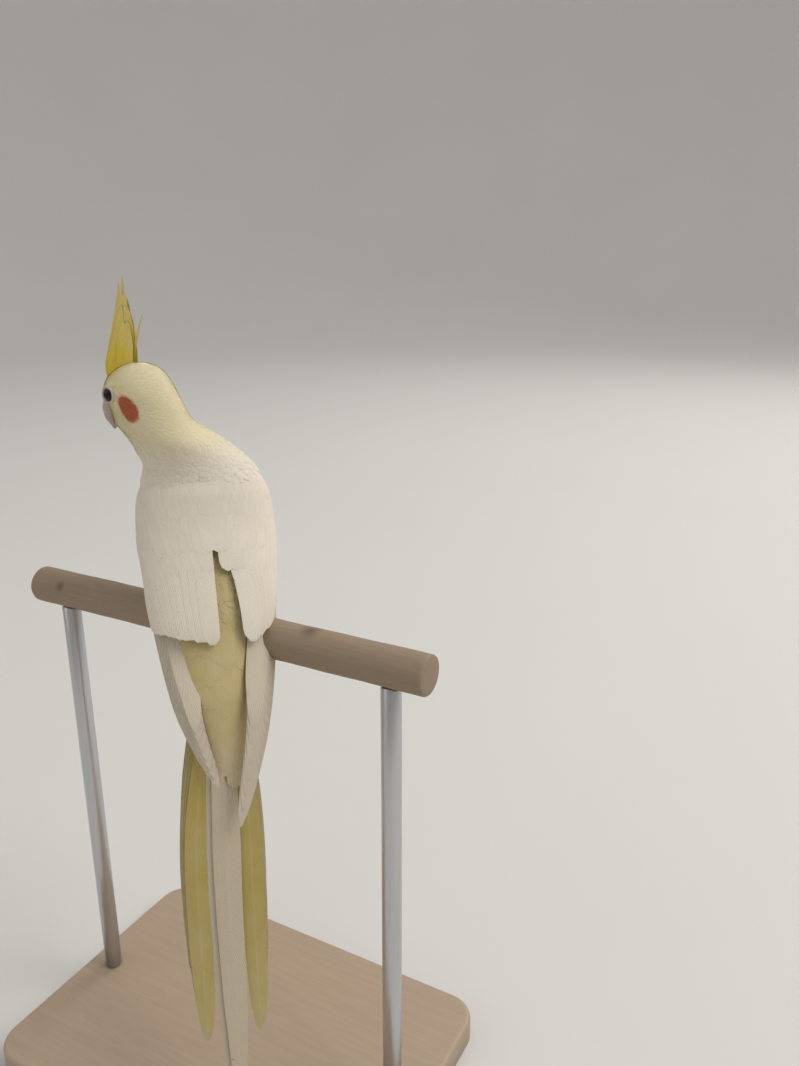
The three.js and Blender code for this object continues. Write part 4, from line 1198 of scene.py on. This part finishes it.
def build_base():
    radius = BASE_EDGE["radius"]
    rounding = [(radius * (1 - math.cos(a)), BASE_EDGE["from"] + radius * math.sin(a))
                for a in np.linspace(0.0, np.pi / 2, 7)]
    profile = BASE_EDGE["foot"] + rounding + BASE_EDGE["top"]
    built = Builder()
    built.loft(np.array([joined(*base_outline(inset).T, z) for inset, z in profile]))
    return built.make("base", lambda points: np.asarray(points, float) * MM)


# Materials

class Material:
    """A material with short ways to add to its shader."""

    def __init__(self, name, roughness):
        self.data = bpy.data.materials.new(name)
        self.data.use_nodes = True
        self.nodes, self.links = self.data.node_tree.nodes, self.data.node_tree.links
        self.inputs = self.nodes["Principled BSDF"].inputs
        self.inputs["Roughness"].default_value = roughness

    def node(self, kind, **values):
        made = self.nodes.new("ShaderNode" + kind)
        for key, value in values.items():
            setattr(made, key, value)
        return made

    def feed(self, socket, value):
        """Gives a socket its link, colour or number."""
        if isinstance(value, bpy.types.NodeSocket):
            self.links.new(value, socket)
        else:
            socket.default_value = (*value, 1) if isinstance(value, tuple) else value

    def mark(self, name):
        return self.node("Attribute", attribute_name=name).outputs["Fac"]

    def place(self):
        return self.node("TexCoord").outputs["Object"]

    def mix(self, factor, first, second):
        made = self.node("Mix", data_type="RGBA")
        for name, value in (("Factor", factor), ("A", first), ("B", second)):
            self.feed(made.inputs[name], value)
        return made.outputs["Result"]

    def maths(self, operation, *values, clamp=False):
        made = self.node("Math", operation=operation, use_clamp=clamp)
        for socket, value in zip(made.inputs, values):
            self.feed(socket, value)
        return made.outputs[0]

    def times(self, first, second):
        return self.maths("MULTIPLY", first, second)

    def noise(self, scale, detail=3.0, stretch=(1, 1, 1), rough=0.5):
        place = self.place()
        mapping = self.node("Mapping")
        mapping.inputs["Scale"].default_value = stretch
        self.links.new(place, mapping.inputs["Vector"])
        made = self.node("TexNoise")
        for name, value in (("Scale", scale), ("Detail", detail), ("Roughness", rough)):
            made.inputs[name].default_value = value
        self.links.new(mapping.outputs[0], made.inputs["Vector"])
        return made.outputs["Fac"]

    def bump(self, height, strength, distance):
        made = self.node("Bump")
        made.inputs["Strength"].default_value = strength
        made.inputs["Distance"].default_value = distance
        self.links.new(height, made.inputs["Height"])
        self.links.new(made.outputs["Normal"], self.inputs["Normal"])

    def colour(self, value):
        self.links.new(value, self.inputs["Base Color"])


WHITE = (0.80, 0.745, 0.65)
SHADE = (0.71, 0.64, 0.54)
YELLOW = (0.76, 0.64, 0.10)
CREST = (0.74, 0.565, 0.06)
OCHRE = (0.53, 0.42, 0.14)
TAIL = (0.46, 0.365, 0.115)
# Beige of the wing tips and the middle tail, darkened partly as painted shade for the light falling off
# towards them.
BEIGE_SHADE = (0.56, 0.475, 0.365)
# Painted shade for the rims and tips of feathers, where one overlies the next.
RIM_SHADE = (0.50, 0.43, 0.33)
ORANGE = (0.47, 0.13, 0.065)


def plumage(name, barbs=None, yellow=YELLOW):
    """White plumage, coloured where the surface's own marks say so, with fine barbs on each feather.

    The barbs are given as their spread along the feather, their slant, how dark the shaft is, and how much
    painted shade lies along the rims and tips, where a feather overlies the next.
    """
    made = Material(name, 0.72)
    tone = made.mark("tone") if barbs else made.noise(90)
    patches = made.noise(70, 4)
    plain = made.mix(made.times(tone, 0.3), WHITE, SHADE)
    plain = made.mix(made.times(patches, 0.35), plain, SHADE)
    amount = made.maths("MULTIPLY", made.mark("yellow"),
                        made.maths("MULTIPLY_ADD", patches, 0.35, 0.84), clamp=True)
    coloured = made.mix(amount, plain, yellow)
    # The beige is partly painted shade for falling light, the ochre is partly painted shade from the wings
    # over the rump, and the orange is the cheeks' own colour.
    for mark, colour in (("dusk", BEIGE_SHADE), ("ochre", OCHRE), ("orange", ORANGE)):
        coloured = made.mix(made.mark(mark), coloured, colour)
    if barbs:
        spread, slant, shaft_dark, rim_shade = barbs
        along = made.mark("along")
        lean = made.maths("ABSOLUTE", made.mark("across"))
        wave = made.maths("SINE", made.maths("SUBTRACT", made.times(along, spread), made.times(lean, slant)))
        shaft = made.maths("POWER", made.maths("SUBTRACT", 1.0, lean, clamp=True), 14.0)
        coloured = made.mix(made.times(shaft, shaft_dark), coloured, SHADE)
        # Painted shade along each feather's rims and tip, where it overlies the next one.
        rim = made.maths("MAXIMUM", made.maths("POWER", lean, 14.0), made.maths("POWER", along, 40.0))
        coloured = made.mix(made.times(rim, rim_shade), coloured, RIM_SHADE)
        made.bump(made.maths("ADD", wave, made.times(made.noise(900, 2), 1.5)), 0.35, 0.00012)
    else:
        made.bump(made.noise(1500, 3), 0.4, 0.0002)
    made.colour(coloured)
    made.inputs["Specular IOR Level"].default_value = 0.04
    return made.data


def eye_material():
    made = Material("eye", 0.05)
    pupil = made.maths("LESS_THAN", made.mark("away"), 0.42)
    iris = made.mix(made.noise(1800, 3), (0.035, 0.008, 0.005), (0.012, 0.004, 0.003))
    made.colour(made.mix(pupil, iris, (0.003, 0.002, 0.002)))
    made.inputs["IOR"].default_value = 1.36
    return made.data


def soft_material(name, first, second, scale, roughness, strength, spots=None):
    """Skin and horn: two tones in a fine grain, with an optional darker mark, which on the cere is painted
    shade in the nostrils.
    """
    made = Material(name, roughness)
    colour = made.mix(made.noise(scale, 4), first, second)
    if spots:
        colour = made.mix(made.mark(spots[0]), colour, spots[1])
    made.colour(colour)
    made.bump(made.noise(scale * 2.5, 4), strength, 0.0002)
    return made.data


def wood_material(name, dark, light, grain_scale, roughness, knots=()):
    made = Material(name, roughness)
    fibres = made.noise(grain_scale, 6, (1, 14, 14), 0.62)
    broad = made.noise(14, 3, (1, 4, 4))
    colour = made.mix(fibres, dark, light)
    colour = made.mix(made.times(broad, 0.6), colour, tuple(0.75 * c for c in light))
    place = made.place() if knots else None
    for along, turn, size in knots:
        turn = math.radians(turn)
        centre = [along, math.cos(turn) * PERCH["radius"], math.sin(turn) * PERCH["radius"] + PERCH["height"]]
        distance = made.node("VectorMath", operation="DISTANCE")
        made.links.new(place, distance.inputs[0])
        distance.inputs[1].default_value = np.array(centre) * MM
        share = made.maths("DIVIDE", distance.outputs["Value"], size * MM)
        fall = made.maths("SUBTRACT", 1.0, share, clamp=True)
        colour = made.mix(made.times(fall, 0.8), colour, tuple(0.35 * c for c in dark))
    made.colour(colour)
    made.bump(fibres, 0.35, 0.0004)
    return made.data


def steel_material():
    made = Material("steel", 0.32)
    brushed = made.noise(500, 3, (1, 1, 0.05))
    made.colour(made.mix(brushed, (0.5, 0.51, 0.52), (0.62, 0.63, 0.64)))
    made.inputs["Metallic"].default_value = 1.0
    made.bump(brushed, 0.15, 0.0001)
    return made.data


def floor_material():
    made = Material("floor", 0.8)
    made.colour(made.mix(made.noise(2), (0.66, 0.65, 0.635), (0.70, 0.69, 0.675)))
    return made.data


# Putting it together

def finish_piece(obj, material, slot, *replaced):
    obj.data.materials.clear()
    obj.data.materials.append(material)
    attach(obj, "root")
    if replaced:
        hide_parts(*replaced)


def surface_tree(*objects):
    """A search tree in the bird's frame over the meshes of pieces."""
    vertices, polygons = [], []
    for obj in objects:
        co = np.empty(len(obj.data.vertices) * 3, np.float32)
        obj.data.vertices.foreach_get("co", co)
        x, y, z = (co.reshape(-1, 3) / MM).T
        start = len(vertices)
        vertices += np.stack([*spin(x, y, -HEADING), z - PERCH["height"]], -1).tolist()
        polygons += [[start + i for i in polygon.vertices] for polygon in obj.data.polygons]
    return BVHTree.FromPolygons(vertices, polygons)


skin = build_skin()
bill = {half: build_bill(half) for half in ("upper", "lower")}
cere = build_cere()
balls = {side: build_eye(side) for side in HEAD_SIDES}
eye_rings = {side: build_lids(side) for side in HEAD_SIDES}
skin_tree = surface_tree(skin)
blockers = surface_tree(*bill.values(), cere, *balls.values(), *eye_rings.values())
coat = build_coat(skin_tree, blockers)
coat.append(build_thigh_coat())
wings = {side: build_wing(side) for side in SIDES}
back = build_back()
tail = build_tail()
coverts = build_tail_coverts()
crest = build_crest()
feet = {side: build_foot(side) for side in SIDES}

# The last number of each barbs tuple is the strength of the painted shade along the feathers' rims and tips.
small = plumage("small_feathers", (34.0, 9.0, 0.0, 0.12))
vanes = plumage("long_feathers", (150.0, 26.0, 0.2, 0.24))
tail_vanes = plumage("tail_feathers", (420.0, 40.0, 0.15, 0.3), TAIL)
crest_vanes = plumage("crest_feathers", (120.0, 12.0, 0.1, 0.2), CREST)
finish_piece(skin, plumage("under_plumage"), "plumage_white",
             "torso", "neck", "head", "leg_left", "leg_right")
for piece in coat:
    finish_piece(piece, small, "plumage_white")
for side, name in SIDES.items():
    finish_piece(wings[side], vanes, "plumage_white", "wing_" + name)
finish_piece(back, vanes, "plumage_white")
finish_piece(tail, tail_vanes, "tail_yellow", "tail")
finish_piece(coverts, plumage("tail_coverts", (150.0, 26.0, 0.1, 0.15), OCHRE), "tail_yellow")
finish_piece(crest, crest_vanes, "crest_yellow", "crest")
horn = soft_material("horn", (0.50, 0.42, 0.36), (0.40, 0.32, 0.27), 300, 0.38, 0.2)
for half, piece in bill.items():
    finish_piece(piece, horn, "horn", "bill_" + half)
# The cere's nearly black mark is painted shade inside the nostrils.
cere_skin = soft_material("cere", (0.56, 0.40, 0.35), (0.48, 0.33, 0.29), 900, 0.55, 0.5,
                          ("hole", (0.03, 0.015, 0.012)))
finish_piece(cere, cere_skin, "horn")
lid_skin = soft_material("lid", (0.56, 0.50, 0.42), (0.44, 0.385, 0.32), 1200, 0.65, 0.5)
eye = eye_material()
for side, name in HEAD_SIDES.items():
    finish_piece(balls[side], eye, "eye", "eye_" + name)
    finish_piece(eye_rings[side], lid_skin, "foot_skin")
foot_skin = soft_material("foot_skin", (0.62, 0.36, 0.31), (0.50, 0.27, 0.23), 1400, 0.55, 0.6)
claw_horn = soft_material("claw", (0.36, 0.27, 0.23), (0.24, 0.17, 0.15), 500, 0.35, 0.2)
for side, name in SIDES.items():
    finish_piece(feet[side][0], foot_skin, "foot_skin", "foot_" + name)
    finish_piece(feet[side][1], claw_horn, "horn")
dowel_wood = wood_material("dowel_wood", (0.22, 0.155, 0.10), (0.36, 0.275, 0.19), 60, 0.62, KNOTS)
finish_piece(build_perch(), dowel_wood, "dowel_wood", "perch")
steel = steel_material()
for side, name in SIDES.items():
    finish_piece(build_rod(side), steel, "stand_steel", "stand_rod_" + name)
base_wood = wood_material("base_wood", (0.36, 0.26, 0.18), (0.50, 0.385, 0.28), 40, 0.42)
finish_piece(build_base(), base_wood, "stand_wood", "stand_base")


# Floor, light and camera

BACKDROP = {"flat": 3.0, "curve": 2.4, "top": 6.0, "sides": 96}


def build_floor():
    """A floor that curves up into a wall all round, so that no horizon shows."""
    flat, curve, sides = BACKDROP["flat"], BACKDROP["curve"], BACKDROP["sides"]
    profile = [(flat * 0.5, 0.0)]
    profile += [(flat + curve * math.sin(a), curve * (1 - math.cos(a)))
                for a in np.linspace(0, np.pi / 2, 40)]
    profile += [(flat + curve, BACKDROP["top"])]
    turns = [2 * math.pi * k / sides for k in range(sides)]
    points = [(radius * math.cos(turn), radius * math.sin(turn), height)
              for radius, height in profile for turn in turns]
    faces = [tuple(range(sides))]
    for low in range(0, (len(profile) - 1) * sides, sides):
        high = low + sides
        faces += [(low + k, high + k, high + (k + 1) % sides, low + (k + 1) % sides) for k in range(sides)]
    mesh = bpy.data.meshes.new("floor")
    mesh.from_pydata(points, [], faces)
    mesh.polygons.foreach_set("use_smooth", np.ones(len(faces), bool))
    floor = bpy.data.objects.new("floor", mesh)
    bpy.context.scene.collection.objects.link(floor)
    mesh.materials.append(floor_material())


def pointed(direction):
    """The turn that points a lamp or a camera along a direction."""
    return direction.to_track_quat("-Z", "Y").to_euler()


def area_light(name, place, size, power, colour):
    light = bpy.data.lights.new(name, "AREA")
    light.shape = "DISK"
    light.size = size
    light.energy = power
    light.color = colour
    obj = bpy.data.objects.new(name, light)
    obj.location = place
    obj.rotation_euler = pointed(Vector(LIT) - Vector(place))
    bpy.context.scene.collection.objects.link(obj)


# The middle of what is lit, and the lights: name, place, size, power and colour.
LIT = (0.0, 0.0, 0.22)
LIGHTS = [
    ("key", (1.7, 0.3, 2.1), 1.7, 30.0, (1.0, 0.965, 0.91)),
    ("fill", (-1.4, -2.0, 1.5), 2.2, 8.0, (1.0, 0.965, 0.92)),
    ("rim", (0.4, 2.2, 1.8), 1.5, 20.0, (1.0, 0.98, 0.95)),
]
AMBIENT = {"Color": (0.95, 0.94, 0.92, 1), "Strength": 0.7}

# The photo's camera, with its focal length and the photo's height in pixels.
CAMERA = {"at": (0.2259, -0.2608, 0.3652), "azimuth": 28.3, "pitch": 17.7, "focal": 900.0, "tall": 1066.0,
          "sensor": 36.0, "near": 0.01, "far": 50.0}

build_floor()
for light in LIGHTS:
    area_light(*light)

world = bpy.data.worlds.new("studio")
bpy.context.scene.world = world
world.use_nodes = True
for name, value in AMBIENT.items():
    world.node_tree.nodes["Background"].inputs[name].default_value = value
bpy.context.scene.view_settings.view_transform = "Standard"

lens = bpy.data.cameras.new("camera")
lens.sensor_width = CAMERA["sensor"]
lens.lens = CAMERA["sensor"] * CAMERA["focal"] / CAMERA["tall"]
lens.clip_start, lens.clip_end = CAMERA["near"], CAMERA["far"]
camera = bpy.data.objects.new("camera", lens)
camera.location = CAMERA["at"]
azimuth, pitch = math.radians(CAMERA["azimuth"]), math.radians(CAMERA["pitch"])
forward = (-math.sin(azimuth) * math.cos(pitch), math.cos(azimuth) * math.cos(pitch), -math.sin(pitch))
camera.rotation_euler = pointed(Vector(forward))
bpy.context.scene.collection.objects.link(camera)
bpy.context.scene.camera = camera
